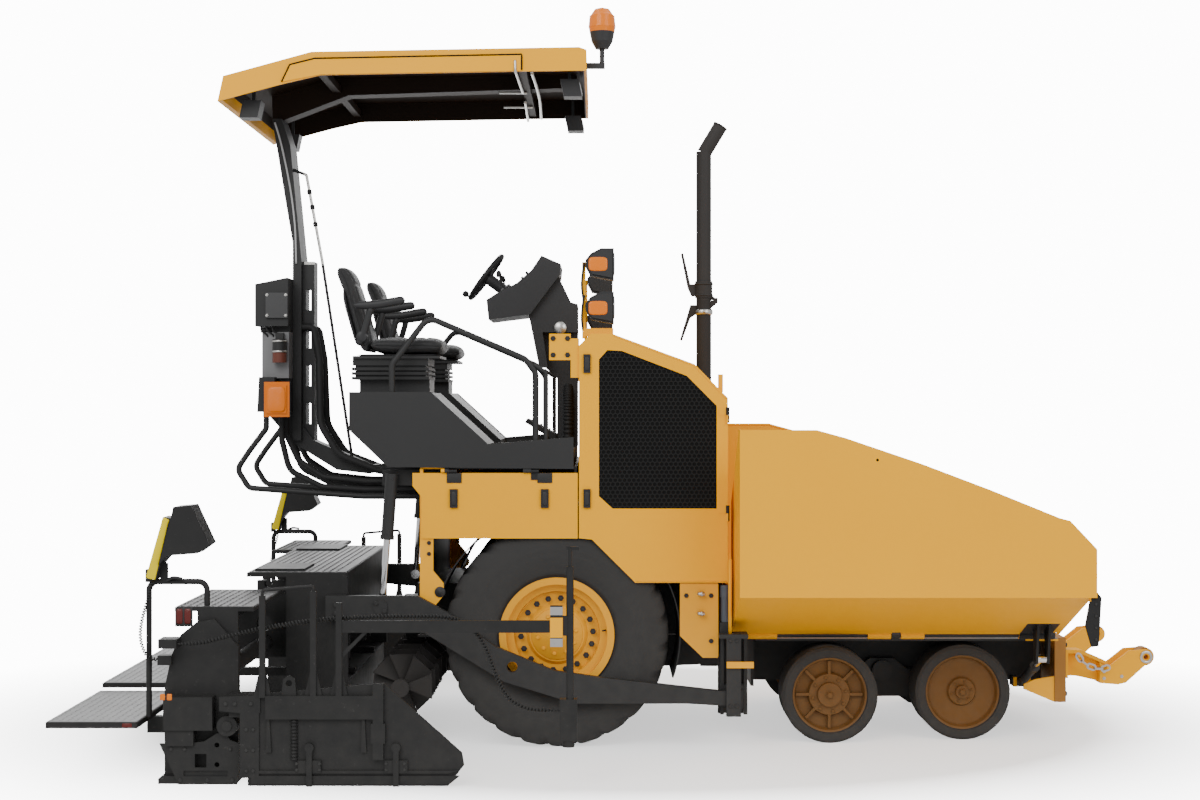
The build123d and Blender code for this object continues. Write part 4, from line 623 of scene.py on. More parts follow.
sensorCord = {
    # diameters of the coil and of its wire, pitch, then the route's points as X, distance out and Z
    "outer": 0.022, "wire": 0.0078, "pitch": 0.0140,
    "points": (
        (-0.3543, 1.745, 0.330), (-0.410, 1.745, 0.331), (-0.500, 1.743, 0.334), (-0.590, 1.741, 0.385),
        (-0.640, 1.738, 0.500), (-0.690, 1.738, 0.640), (-0.790, 1.738, 0.738), (-1.000, 1.738, 0.742),
        (-1.250, 1.738, 0.738), (-1.440, 1.735, 0.722), (-1.650, 1.732, 0.690), (-1.830, 1.732, 0.648),
        (-1.935, 1.732, 0.620), (-2.0297, 1.732, 0.620),
    ),
}
remoteCord = {
    "outer": 0.018, "wire": 0.0064, "pitch": 0.0115,
    "points": (
        (-2.160, 1.640, 0.894), (-2.165, 1.642, 0.840), (-2.200, 1.646, 0.740), (-2.215, 1.650, 0.640),
        (-2.190, 1.652, 0.565), (-2.160, 1.654, 0.541), (-2.1253, 1.654, 0.541),
    ),
}
coilRing, coilSides, coilGrowth, coilShare = 14, 6, 0.035, 0.93  # points in a turn and round the wire, shares


def routeLine(points):
    # the smooth line of a NURBS spline through its control points
    data = bpy.data.curves.new("route", "CURVE")
    data.dimensions, data.resolution_u = "3D", 24
    spline = data.splines.new("NURBS")
    spline.points.add(len(points) - 1)
    for spot, place in zip(spline.points, points):
        spot.co = (*place, 1)
    spline.order_u = 3
    spline.use_endpoint_u = True
    curve = bpy.data.objects.new("route", data)
    mesh = bpy.data.meshes.new_from_object(curve)
    line = np.array([v.co for v in mesh.vertices])
    bpy.data.objects.remove(curve)
    bpy.data.meshes.remove(mesh)
    return line


def evenly(line, count):
    # the same line with its points at equal distances, and its length
    reach = np.concatenate([[0], np.cumsum(np.linalg.norm(np.diff(line, axis=0), axis=1))])
    at = np.linspace(0, reach[-1], count)
    return np.stack([np.interp(at, reach, line[:, k]) for k in range(3)], 1), reach[-1]


def buildCord(name, look, sideName):
    points = [(x, sides[sideName] * out, z) for x, out, z in look["points"]]
    line = routeLine(points)
    length = evenly(line, 10)[1]
    turns = int(length * coilShare / look["pitch"])
    centre, _ = evenly(line, turns * coilRing)
    _, side, up = frames(centre)
    share = np.linspace(0, 1, len(centre))
    # a helix about the line, whose radius grows from nothing over the first and last stretch
    coil = (look["outer"] - look["wire"]) / 2 * np.clip(np.minimum(share, 1 - share) / coilGrowth, 0, 1)
    angle = 2 * np.pi * turns * share
    path = centre + coil[:, None] * (np.cos(angle)[:, None] * side + np.sin(angle)[:, None] * up)
    obj = surfaces(f"curly_{name}", [tubeGrid(path, look["wire"] / 2, coilSides)], weld=0)
    settle(obj, f"extension_{sideName}", "softRubber")
    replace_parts(obj, name)


def buildCords():
    buildCord("sensor_cord", sensorCord, "right")
    for name in sides:
        buildCord(f"remote_cord_{name}", remoteCord, name)


tyre = {
    "inner": 0.485, "outer": 0.850, "tread": 0.530, "reach": 0.545, "around": 648, "across": 84,
    "lugs": 24, "lugHalf": 0.044, "lean": 0.2623, "leanAbout": 0.9,
    "lugGrowth": (0.75, 0.35),  # width of a lug at the middle and what it gains towards the side
    # place and softness of the steps at which a lug ends
    "lugEdge": 0.0022, "lugFoot": (0.490, 0.004), "middleGap": (0.10, 0.02), "shoulder": (0.475, 0.045),
    # half the section, from the bead to the middle of the tread: distance in from the side and radius
    "section": (
        (0.036, 0.262), (0.033, 0.284), (0.020, 0.300), (0.010, 0.335), (0.003, 0.375), (0.0, 0.42),
        (0.004, 0.465), (0.014, 0.503), (0.040, 0.5265), (0.10, 0.5295), (0.1825, 0.530),
    ),
    "rings": ((0.400, 0.0016, 0.004), (0.318, 0.0020, 0.003)),  # wall grooves: radius, depth and width
}
driveWheel = {
    # circle, distance out, count, turn and size
    "nuts": (0.176, 0.7765, 18, 4, 0.0115),
    "studs": (0.095, 0.7838, 10, 10, 0.008),
    "cover": (
        ((0.774, 0), (0.774, 0.128), (0.776, 0.128), (0.782, 0.124), (0.784, 0.05), (0.791, 0.044),
         (0.793, 0)), (driveAxle[0], 0, driveAxle[1]),
    ),
    "valve": (((-0.153, 0.772, 0.565), (-0.153, 0.80, 0.565), (-0.166, 0.815, 0.565)), 12, 0.004, 8),
}


def rise(value, middle, width):
    # a smooth step from 0 to 1 about the middle
    return 1 / (1 + np.exp((middle - value) / width))


def tyreGrid(side):
    # the section is turned about the axle; the radius is raised where the angle is near a lug's slanting line
    section, width = np.array(tyre["section"]), tyre["outer"] - tyre["inner"]
    whole = np.vstack([section, np.column_stack([width - section[-2::-1, 0], section[-2::-1, 1]])])
    line = smoothPath(np.column_stack([whole, np.zeros(len(whole))]), tyre["across"])[:, :2]
    angle = around(tyre["around"])[:, None]
    out = line[None, :, 0] - width / 2
    radius = np.broadcast_to(line[None, :, 1], (tyre["around"], tyre["across"])).copy()
    share = np.abs(out) / (width / 2)
    pitch = 2 * np.pi / tyre["lugs"]
    lean = (share - tyre["leanAbout"]) * tyre["lean"] / pitch
    turn = (angle / pitch + np.where(out > 0, 0.0, 0.5) + lean + 0.5) % 1 - 0.5
    near = np.abs(turn) * pitch * radius
    narrow, growth = tyre["lugGrowth"]
    lug = rise(tyre["lugHalf"] * (narrow + growth * share), near, tyre["lugEdge"])
    lug = lug * rise(radius, *tyre["lugFoot"]) * rise(share, *tyre["middleGap"])
    low, high = tyre["shoulder"]
    radius += lug * (tyre["reach"] - tyre["tread"]) * np.clip((radius - low) / high, 0, 1)
    groove = sum(depth * np.exp(-((radius - at) / breadth) ** 2) for at, depth, breadth in tyre["rings"])
    y = np.broadcast_to(out - np.sign(out) * groove + (tyre["inner"] + tyre["outer"]) / 2, radius.shape)
    axleX, axleZ = driveAxle
    grid = np.stack([axleX + radius * np.cos(angle), side * y, axleZ + radius * np.sin(angle)], -1)
    # the inner wall closes the ring between the beads
    first, last = grid[:, :1], grid[:, -1:]
    lining = last + (first - last) * np.array([1 / 3, 2 / 3])[None, :, None]
    return np.concatenate([grid, lining], 1), True, True


def buildTyres():
    for name, side in sides.items():
        body = f"rear_wheel_{name}"
        obj = add(f"driveTyre_{name}", body, "tyreRubber", [tyreGrid(side)])
        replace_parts(obj, f"rear_tyre_{name}")
        settle(bolts(f"wheelNuts_{name}", ringOf(side, driveAxle, *driveWheel["nuts"])), body, "darkPaint")
        add(f"hubCover_{name}", body, "rimPaint", [spun(*driveWheel["cover"], side=side)])
        settle(bolts(f"hubStuds_{name}", ringOf(side, driveAxle, *driveWheel["studs"])), body, "rimPaint")
        add(f"tyreValve_{name}", body, "softRubber", [pipe(side, *driveWheel["valve"])])


smallWheels = {
    # axle, then the studs and the cap: circle, distance out, count, turn and size
    "a": (wheelA, (0.083, 0.6842, 8, 12, 0.008), (0, 0.702, 1, 0, 0.016)),
    "b": (wheelB, (0.050, 0.5902, 6, 12, 0.006), (0, 0.608, 1, 0, 0.016)),
}


def buildSmallWheels():
    for pair, (axle, *rings) in smallWheels.items():
        for name, side in sides.items():
            places = [place for ring in rings for place in ringOf(side, axle, *ring)]
            obj = bolts(f"smallWheelStuds_{pair}_{name}", places)
            # studs in the darker brown of the small rims: painted shade
            settle(obj, f"front_wheel_{pair}_{name}", "shadedSmallRimPaint")


grille = {
    "outline": ((-0.183, 1.222), (-0.183, 1.883), (-0.142, 1.928), (-0.071, 1.924), (0.243, 1.803),
                (0.386, 1.659), (0.386, 1.162), (-0.117, 1.162)),
    "pitch": 0.0225, "bar": 0.20, "slant": 0.52, "face": 0.8625, "floor": 0.8601, "margin": 0.0005,
    "sunk": (-1, 1, 0.85, 0.8621, 1, 2),  # what lies deeper than the bars' faces, painted deep black: painted shade in the cells
}


def insidePolygon(points, outline):
    # a point is inside when a ray from it crosses the outline an odd number of times
    inside = np.zeros(len(points), bool)
    for a, b in zip(outline, np.roll(outline, -1, axis=0)):
        crosses = (a[1] > points[:, 1]) != (b[1] > points[:, 1])
        at = a[0] + (points[:, 1] - a[1]) / (b[1] - a[1] + 1e-12) * (b[0] - a[0])
        inside ^= crosses & (points[:, 0] < at)
    return inside


def buildGrille():
    # a honeycomb relief: every cell is a flat hexagon ring, slanting walls and a sunk hexagon floor
    outline, pitch = np.array(grille["outline"]), grille["pitch"]
    low, high = outline.min(0), outline.max(0)
    rows = np.arange(low[1], high[1] + pitch, pitch * math.sqrt(3) / 2)
    columns = np.arange(low[0], high[0] + pitch, pitch)
    x, z = np.meshgrid(columns, rows)
    x = x + (np.arange(len(rows)) % 2)[:, None] * pitch / 2
    centres = np.stack([x.ravel(), z.ravel()], 1)
    centres = centres[insidePolygon(centres, outline)]
    angle = np.radians(np.arange(6) * 60 + 30)
    ring = np.stack([np.cos(angle), np.sin(angle)], 1) * pitch / math.sqrt(3)
    shares = (1, 1 - grille["bar"], grille["slant"])
    flat = np.concatenate([centres[:, None] + ring * share for share in shares], 1)
    flat = np.clip(flat, low + grille["margin"], high - grille["margin"]).reshape(-1, 2)
    depth = np.tile(np.repeat((grille["face"], grille["face"], grille["floor"]), 6), len(centres))
    k = np.arange(6)
    cell = np.concatenate([np.stack([k, (k + 1) % 6, (k + 1) % 6 + 6, k + 6], 1) + step for step in (0, 6)])
    starts = np.arange(len(centres)) * 18
    quads = (cell[None] + starts[:, None, None]).reshape(-1, 4)
    floors = starts[:, None] + np.arange(12, 18)
    for name, side in sides.items():
        points = np.stack([flat[:, 0], side * depth, flat[:, 1]], 1)
        faces = [face[::-side] for group in (quads, floors) for face in group]
        obj = makeObject(f"fineGrille_{name}", points, faces)
        # the cells' sunk floors and lower walls in deep black: painted shade
        settle(obj, f"hood_door_{name}", "grilleBlack", patches=(("deepBlack", *grille["sunk"]),))


latchShape = (0.0115, 0.034), 0.004, 4
hood = {
    # pillows: places as X, distance out and Z, then half width and height, rise and power of the outline
    "lens": ([(-0.188, 0.764, z) for z in (2.352, 2.137)], (0.046, 0.034), 0.004, 5),
    "glass": (-0.110, 0.70, (2.355, 2.142)), "glassShape": ((0.044, 0.056), 0.005, 6),
    "doorLatch": ([(-0.241, 0.8755, z) for z in (1.863, 1.211)], *latchShape),
    "panelLatch": ([(x, 0.8755, 1.211) for x in (-0.885, -0.445)], *latchShape),
    # curves: points, then points along the tube, radius and points round it; steps to each copy
    "cable": (
        ((-0.255, 0.725, 2.36), (-0.262, 0.74, 2.32), (-0.268, 0.735, 2.25), (-0.262, 0.715, 2.19)),
        22, 0.005, 8,
    ),
    "cableSteps": ((0, 0, 0), (0, 0, -0.16)),
    "elbow": (
        ((0.300, 0.8552, 0.75), (0.300, 0.871, 0.75), (0.306, 0.876, 0.75), (0.328, 0.876, 0.75)),
        14, 0.0085, 10,
    ),
    "nut": ((0.308, 0.314, 0.322), 0.876, 0.75, 0.0125), "elbowSteps": ((0, 0, 0), (0, 0, -0.095)),
    "bolts": (
        ((-0.405, -0.335), 0.8552, (1.985, 1.905), 0.010), ((-1.0058,), 0.8552, (0.995, 0.942), 0.008),
        ((0.24,), 0.8552, (0.74,), 0.009), ((0.36,), 0.8552, (0.74, 0.52), 0.009),
    ),
    "pin": (
        ((0.853, 0), (0.853, 0.026), (0.858, 0.026), (0.86, 0.024), (0.86, 0.012), (0.864, 0.01), (0.864, 0)),
        (-0.9526, 0, 0.7575), "y", 32,
    ),
    "hinges": ((-0.919, -0.847), (-0.481, -0.409)),
    "hingeOut": (0.8636, 0.868), "hingeHeights": (1.286, 1.334),
    # a rolled edge along the sloping top and the bottom of the door
    "edges": (((-0.115, 1.9985), (0.276, 1.8535), (0.434, 1.692)), ((-0.002, 0.810), (0.434, 0.810))),
    "edgeOut": 0.8636, "edgeRadius": 0.0026,
}


def buildHood():
    for name, side in sides.items():
        door, panel = f"hood_door_{name}", f"rear_panel_{name}"
        add(f"hoodLampLens_{name}", "tractor", "amberLens", domes(side, *hood["lens"]))
        x, out, heights = hood["glass"]
        glass = [dome((x, side * out, z), (1, 0, 0), *hood["glassShape"]) for z in heights]
        add(f"hoodLampGlass_{name}", "tractor", "clearLens", glass)
        cables = placed(pipe(side, *hood["cable"]), hood["cableSteps"])
        add(f"hoodLampCable_{name}", "tractor", "softRubber", cables)
        studs(f"frameBolts_{name}", "tractor", "darkPaint", side, hood["bolts"])
        add(f"frontPin_{name}", "tractor", "darkPaint", [spun(*hood["pin"], side=side)])
        for body, label in ((door, "doorLatch"), (panel, "panelLatch")):
            add(f"{label}_{name}", body, "blackPlastic", domes(side, *hood[label]))
        places, out, z, radius = hood["nut"]
        elbow = [pipe(side, *hood["elbow"]), tubeGrid([(x, side * out, z) for x in places], radius, 6)]
        elbows = [moved for step in hood["elbowSteps"] for patch in elbow for moved in placed(patch, [step])]
        add(f"oilFittings_{name}", "tractor", "zincSteel", elbows)
        limits = (*span(side, *hood["hingeOut"]), *hood["hingeHeights"])
        leaves = bricks(f"panelHinges_{name}", [(*places, *limits) for places in hood["hinges"]])
        settle(roundEdges(leaves, 0.0015), panel, "darkPaint")
        edges = [divided([(x, side * hood["edgeOut"], z) for x, z in run], 12) for run in hood["edges"]]
        add(f"doorEdge_{name}", door, "goldPaint", [tubeGrid(run, hood["edgeRadius"], 8) for run in edges])


exhaust = {
    # profiles as height and radius, then place, axis and points round it
    "clamp": (
        ((2.138, 0.0395), (2.138, 0.0445), (2.146, 0.048), (2.158, 0.048), (2.166, 0.0445), (2.166, 0.0395)),
        (0.371, 0, 0), "z", 40,
    ),
    "lever": ([(0.371, y, 2.152) for y in (-0.046, -0.066, -0.078)], (0.007, 0.007, 0.005), 8),
    "collar": (
        ((0, 0.0455), (0, 0.049), (0.004, 0.0505), (0.008, 0.049), (0.008, 0.0455)), (0.371, 0, 0), "z", 40,
    ),
    "collars": ((0, 0, 2.236), (0, 0, 2.296)),
    "lip": (((0, 0.0335), (0.002, 0.040), (-0.006, 0.0395), (-0.006, 0.0335)), (0, 0, 0), "z", 40),
    "lipWay": (90, 0, 150), "lipPlace": (0.4595, 0, 3.1375),
}


def buildExhaust():
    add("exhaustClamp", "tractor", "zincSteel", [spun(*exhaust["clamp"]), tubeGrid(*exhaust["lever"])])
    add("exhaustCollar", "exhaust_stack", "stackPaint", placed(spun(*exhaust["collar"]), exhaust["collars"]))
    lip = placed(spun(*exhaust["lip"], closed=True), [exhaust["lipPlace"]], leaning(exhaust["lipWay"]))
    add("exhaustLip", "exhaust_stack", "stackPaint", lip)


steering = {
    "axis": (-0.8, 0, 0.6), "post": (-0.69, 0, 2.270), "lift": 0.1123,
    "radius": 0.137, "grip": 0.0125, "ridges": 24, "ridge": 0.05,
    "spokes": 3, "spokeReach": 0.132, "spokeRadius": (0.013, 0.008),
    "cap": (
        ((-0.012, 0), (-0.012, 0.034), (0.004, 0.036), (0.010, 0.030), (0.0125, 0.018), (0.0125, 0)),
        (0, 0, 0), "z", 32,
    ),
    "knob": (
        ((0, 0), (0, 0.006), (0.018, 0.006), (0.022, 0.014), (0.034, 0.0175), (0.046, 0.014), (0.052, 0)),
        (0, 0, 0), "z", 24,
    ),
}


def buildSteeringWheel():
    # a ring of circles about the column, with spokes, a cap and a spinner knob on the rim
    axis, across = np.array(steering["axis"]), np.array([0, 1, 0])
    up, hub = np.cross(axis, across), np.array(steering["post"]) + axis * steering["lift"]
    angle = around(72)
    radial = np.cos(angle)[:, None] * across + np.sin(angle)[:, None] * up
    tube = around(14)[None, :, None]
    thick = steering["grip"] * (1 + steering["ridge"] * np.cos(angle * steering["ridges"])[:, None, None])
    middle = (hub + steering["radius"] * radial)[:, None]
    patches = [(middle + thick * (np.cos(tube) * radial[:, None] + np.sin(tube) * axis), True, True)]
    spoke = np.linspace(0, steering["spokeReach"], 12)[:, None]
    for k in range(steering["spokes"]):
        lean = math.radians(360 / steering["spokes"] * k + 90)
        way = math.cos(lean) * across + math.sin(lean) * up
        patches.append(tubeGrid(hub + spoke * way, np.linspace(*steering["spokeRadius"], 12), 10))
    turn = np.stack([across, np.cross(axis, across), axis])
    low = hub - math.copysign(steering["radius"], up[2]) * up
    for profile, place in (("cap", hub), ("knob", low)):
        patches += placed(spun(*steering[profile]), [place], turn)
    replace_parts(add("steeringWheelRim", "steering_wheel", "softRubber", patches), "steering_wheel")


seat = {
    "middle": 0.585, "x": -1.170,
    # spines as distance past the seat's place and height
    "cushion": ((-0.128, 1.955), (0.02, 1.952), (0.13, 1.953), (0.222, 1.949)),
    "back": ((-0.15, 1.925), (-0.175, 2.02), (-0.205, 2.12), (-0.232, 2.21), (-0.255, 2.28), (-0.288, 2.335)),
    "shellBack": ((-0.195, 1.955), (-0.222, 2.05), (-0.25, 2.15), (-0.262, 2.22)),
    "shellBase": ((-0.20, 1.907), (0, 1.906), (0.205, 1.907)),
    "arm": ((-0.205, 2.146), (-0.10, 2.150), (0, 2.166), (0.045, 2.172)),
    "post": ((-0.18, 0.93, 1.96), (-0.15, 0.96, 2.03), (-0.12, 1, 2.135)),  # Y as a share of armOut
    "hinge": ((-0.014, 0), (-0.014, 0.024), (-0.011, 0.027), (0.011, 0.027), (0.014, 0.024), (0.014, 0)),
    "hingePlace": (-0.165, 0.95, 1.995), "armOut": 0.245, "piping": 0.0032,
}
pad = {
    # how the ends close and how a section narrows, then depth and width of the grooves where seams are sewn
    "ends": (6, 2.4), "endWidth": 0.93, "waist": 0.025, "crown": 0.18,
    "channel": (0.26, 0.006), "cross": (0.22, 0.035),
}


def padGrid(spine, half, thick, middleY, channels=(), cross=(), squareness=3.2, taper=0, rows=56, columns=72):
    # superellipse sections carried along the spine and closed at both ends, with grooves along the seams
    path = smoothPath([(seat["x"] + x, middleY, z) for x, z in seat[spine]], rows)
    tangent = np.gradient(path, axis=0)
    tangent /= np.linalg.norm(tangent, axis=1)[:, None]
    normal = np.cross(tangent, (0, 1, 0))
    s = np.linspace(-1, 1, rows)
    end = (1 - np.abs(s) ** pad["ends"][0]) ** (1 / pad["ends"][1])
    angle = around(columns)
    c, d = (np.sign(wave) * np.abs(wave) ** (2 / squareness) for wave in (np.cos(angle), np.sin(angle)))
    width = half * (1 - taper * (s + 1) / 2) * (pad["endWidth"] + (1 - pad["endWidth"]) * end)
    width = width * (1 - pad["waist"] * (1 - s**2))
    across = width[:, None] * c[None]
    deep = thick * end[:, None] * d[None] * (1 - pad["crown"] * np.abs(c[None]) ** 4)
    for spot in channels:
        depth, breadth = pad["channel"]
        deep = deep * (1 - depth * np.exp(-((np.abs(across) - spot) / breadth) ** 2))
    for spot in cross:
        depth, breadth = pad["cross"]
        between = np.abs(across) < (channels[0] if channels else half)
        deep = deep * (1 - depth * np.exp(-((s[:, None] - spot) / breadth) ** 2) * between)
    grid = path[:, None] + across[..., None] * np.array([0, 1, 0]) + deep[..., None] * normal[:, None]
    start = np.broadcast_to(path[:1, None], grid[:1].shape)
    stop = np.broadcast_to(path[-1:, None], grid[:1].shape)
    edges = [path + width[:, None] * way * np.array([0, 1, 0]) for way in (-1, 1)]
    return (np.concatenate([start, grid, stop]), False, True), edges


def buildSeats():
    for name, side in sides.items():
        y, x = side * seat["middle"], seat["x"]
        cushionGrid, cushionEdge = padGrid("cushion", 0.224, 0.044, y, (0.15,), (-0.2, 0.35))
        backGrid, backEdge = padGrid("back", 0.208, 0.040, y, (0.135,), (-0.45, -0.05, 0.4), taper=0.16)
        cushion = add(f"seatCushion_{name}", "tractor", "vinyl", [cushionGrid])
        back = add(f"seatBack_{name}", "tractor", "vinyl", [backGrid])
        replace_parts(cushion, "seat_pads")
        piping = [tubeGrid(line[3:-3], seat["piping"], 8) for line in cushionEdge + backEdge]
        add(f"seatPiping_{name}", "tractor", "softRubber", piping)
        arms = []
        for arm in (-seat["armOut"], seat["armOut"]):
            arms.append(padGrid("arm", 0.025, 0.021, y + arm, squareness=2.6, rows=26, columns=28)[0])
            arms.append(pipe(1, [(x + a, y + arm * share, z) for a, share, z in seat["post"]], 14, 0.017, 12))
            a, share, z = seat["hingePlace"]
            arms.append(spun(seat["hinge"], (x + a, y + arm * share, z), steps=28))
        add(f"seatArms_{name}", "tractor", "blackPlastic", arms)
        shell = [padGrid("shellBack", 0.19, 0.014, y, rows=30, columns=48)[0],
                 padGrid("shellBase", 0.20, 0.007, y, rows=16, columns=40)[0]]
        add(f"seatShell_{name}", "tractor", "blackPlastic", shell)


hopper = {
    "rim": ((0.470, 1.541), (0.827, 1.541), (0.961, 1.504), (1.314, 1.384), (1.628, 1.265), (1.953, 1.133),
            (2.0, 1.121), (2.122, 0.992)),
    "rimOut": 1.2405, "rimRadius": 0.0068,
    "flapBolts": (((2.1235,), 1.2362, (0.575, 0.63, 0.685, 0.74), 0.006),),
    # a deep black pillow over the hole: painted shade inside it
    "hole": ([(1.1075, 1.2501, 1.409)], (0.0065, 0.0065), 0.0006, 2, 4, 18),
    # distance out and height of each bolt of the bumper plate
    "bumper": ((0.33, 0.21), (0.33, 0.455), (0.49, 0.21), (0.49, 0.455), (0.10, 0.455), (0.20, 0.455)),
    "bumperFace": 2.1602, "bumperSize": 0.012,
    "axle": (
        ((0.520, 0.0175), (0.5245, 0.0205), (0.5245, 0.0305), (0.520, 0.033)), (2.563, 0, 0.397), "y", 36,
    ),
    "armBolts": (((2.352,), 0.5202, (0.29, 0.325), 0.007), ((2.44,), 0.5202, (0.30,), 0.007)),
}


def buildHopper():
    for name, side in sides.items():
        body = f"hopper_wing_{name}"
        rim = divided([(x, side * hopper["rimOut"], z) for x, z in hopper["rim"]], 6)
        add(f"hopperLip_{name}", body, "goldPaint", [tubeGrid(rim, hopper["rimRadius"], 10)])
        studs(f"flapBolts_{name}", body, "darkPaint", side, hopper["flapBolts"])
        # the hole shown as a deep black pillow: painted shade
        add(f"hopperHole_{name}", body, "deepBlack", domes(side, *hopper["hole"]))
        face, size = hopper["bumperFace"], hopper["bumperSize"]
        places = [(face, side * out, z, (1, 0, 0), size) for out, z in hopper["bumper"]]
        settle(bolts(f"bumperBolts_{name}", places), "tractor", "darkPaint")
        axle = spun(*hopper["axle"], side=side, closed=True)
        add(f"rollerAxle_{name}", "tractor", "zincSteel", [axle])
        studs(f"armBolts_{name}", "tractor", "zincSteel", side, hopper["armBolts"])


roof = {
    # curves: points as X, distance out and height, then points along the tube, radius and points round it
    "crossRod": (((-0.512, -0.77, 3.291), (-0.50, 0, 3.293), (-0.512, 0.77, 3.291)), 30, 0.008, 10),
    "strap": (
        ((-0.592, 0.795, 3.342), (-0.591, 0.795, 3.291), (-0.588, 0.765, 3.2855), (-0.580, 0.14, 3.290)),
        36, 0.007, 10,
    ),
    "cable": (
        ((-1.880, -0.112, 3.14), (-1.845, -0.114, 3.02), (-1.80, -0.114, 2.80), (-1.775, -0.114, 2.60),
         (-1.768, -0.114, 2.40)), 48, 0.005, 8,
    ),
    "latches": ((-0.706, -0.560, -0.12, -0.10, 3.2895, 3.3005), (-0.706, -0.546, 0.36, 0.38, 3.2895, 3.3005)),
    "seam": ((-1.730, 3.238), (-1.690, 3.322), (-1.570, 3.352), (-0.560, 3.372), (-0.560, 3.296)),
    "seamOut": 0.7945, "seamRadius": 0.0036,
    # X, height and the way each work lamp looks
    "lamps": ((-0.276, 3.2325, (0.978, 0, 0.207)), (-1.954, 3.1275, (-0.978, 0, 0.207))), "lampsOut": 0.60,
    "lampShape": ((0.046, 0.034), 0.005, 6),
    "clip": (((-0.011, 0), (-0.011, 0.0125), (0.011, 0.0125), (0.011, 0)), (0, 0, 0), "z", 20),
    "clips": ((-1.7055, -0.07, 2.78), (-1.6895, -0.07, 2.70), (-1.674, -0.07, 2.61)),
    "clipWay": (0.18, 0, -0.98),
    # ribs of the beacon: first height and radius, their steps, and how far each second one stands out
    "beacon": (-0.168, -0.70, 0), "ribs": 8,
    "ribFirst": (3.52, 0.0668), "ribStep": (0.008, -0.0008), "ribOut": 0.0012,
}


def buildCanopy():
    add("roofCrossRod", "tractor", "zincSteel", [pipe(1, *roof["crossRod"])])
    settle(roundEdges(bricks("roofLatches", roof["latches"]), 0.003), "tractor", "zincSteel")
    for name, side in sides.items():
        add(f"roofStrap_{name}", "tractor", "zincSteel", [pipe(side, *roof["strap"])])
        seam = divided([(x, side * roof["seamOut"], z) for x, z in roof["seam"]], 10)
        add(f"roofSeam_{name}", "tractor", "deepBlack", [tubeGrid(seam, roof["seamRadius"], 8)])
        out = side * roof["lampsOut"]
        glass = [dome((x, out, z), way, *roof["lampShape"]) for x, z, way in roof["lamps"]]
        add(f"roofLampGlass_{name}", "tractor", "clearLens", glass)
    clips = placed(spun(*roof["clip"]), roof["clips"], leaning(roof["clipWay"]))
    add("mastCableClips", "tractor", "softRubber", clips)
    add("mastCable", "tractor", "paleGrey", [pipe(1, *roof["cable"])])
    (low, wide), (up, inwards) = roof["ribFirst"], roof["ribStep"]
    ribs = [(low + up * k, wide + inwards * k + roof["ribOut"] * (k % 2)) for k in range(roof["ribs"])]
    add("beaconRibs", "tractor", "amberLens", [spun(ribs, roof["beacon"], "z", 40)])


console = {
    "across": (0.80, 0, 0.60), "normal": (-0.60, 0, 0.80),  # of the sloping panel
    "dial": (
        ((0, 0), (0, 0.027), (0.006, 0.030), (0.011, 0.027), (0.011, 0.022), (0.004, 0.021), (0.004, 0)),
        (0, 0, 0), "z", 28,
    ),
    "dials": [(-0.6675, y, 2.2683) for y in (-0.15, -0.05, 0.05, 0.15)],
    # the first switch, the steps ahead, along a row and up, rows and columns, size
    "switch": (-0.582, -0.18, 2.322), "switchStep": (0.0231, 0.04, 0.027),
    "switches": (2, 10), "switchSize": 0.008,
    "knob": (
        ((-0.1895, 0), (-0.1895, 0.03), (-0.197, 0.034), (-0.2035, 0.03), (-0.2035, 0)),
        (-0.384, 0, 2.062), "y", 32,
    ),
    "lever": (((-0.665, 0, 2.252), (-0.69, 0, 2.3), (-0.7, 0, 2.335)), 16, np.linspace(0.006, 0.005, 16), 10),
    "leverTop": ((-0.700, 0, 2.325), (-0.15, 0, 1), (0.014, 0.014), 0.034, 2),
    "levers": ((0, -0.205, 0), (0, 0.205, 0)),
    "duct": ((-0.344, -0.118, 1.4465), (-0.344, -0.118, 1.60), (-0.344, -0.114, 1.70), (-0.344, -0.08, 1.76)),
    "ductRings": 90, "ductRadius": (0.024, 0.003, 4.5),  # radius, height of a rib and rings from rib to rib
    # the first pedal tread as a box, then the steps to the other pedal and from tread to tread
    "tread": (-0.430, -0.420, -0.126, -0.064, 1.515, 1.5245),
    "pedals": 2, "pedalStep": (0, 0, 0.190, 0.190, 0, 0),
    "treads": 6, "treadStep": (-0.022, -0.022, 0, 0, 0.0119, 0.0119),
}


def buildConsole():
    # dials on the sloping panel, rows of switches above, levers, a knob and a ribbed duct below
    turn = np.stack([console["across"], (0, 1, 0), console["normal"]])
    add("consoleDials", "tractor", "greyPlastic", placed(spun(*console["dial"]), console["dials"], turn))
    (x, y, z), (ahead, across, up) = console["switch"], console["switchStep"]
    rows, columns = console["switches"]
    keys = [(x + ahead * row, y + across * k, z + up * row, console["normal"], console["switchSize"])
            for row in range(rows) for k in range(columns)]
    settle(bolts("consoleSwitches", keys, washer=False), "tractor", "softRubber")
    add("consoleKnob", "tractor", "zincSteel", [spun(*console["knob"])])
    lever = [pipe(1, *console["lever"]), dome(*console["leverTop"])]
    levers = [moved for step in console["levers"] for patch in lever for moved in placed(patch, [step])]
    add("consoleLevers", "tractor", "softRubber", levers)
    count, (radius, rib, spacing) = console["ductRings"], console["ductRadius"]
    wide = radius + rib * np.cos(np.arange(count) * 2 * np.pi / spacing)
    add("consoleDuct", "tractor", "softRubber", [pipe(1, console["duct"], count, wide, 18)])
    first, aside, along = (np.array(console[key]) for key in ("tread", "pedalStep", "treadStep"))
    treads = [first + aside * pedal + along * k
              for pedal in range(console["pedals"]) for k in range(console["treads"])]
    settle(bricks("pedalTreads", treads), "tractor", "greyPlastic")


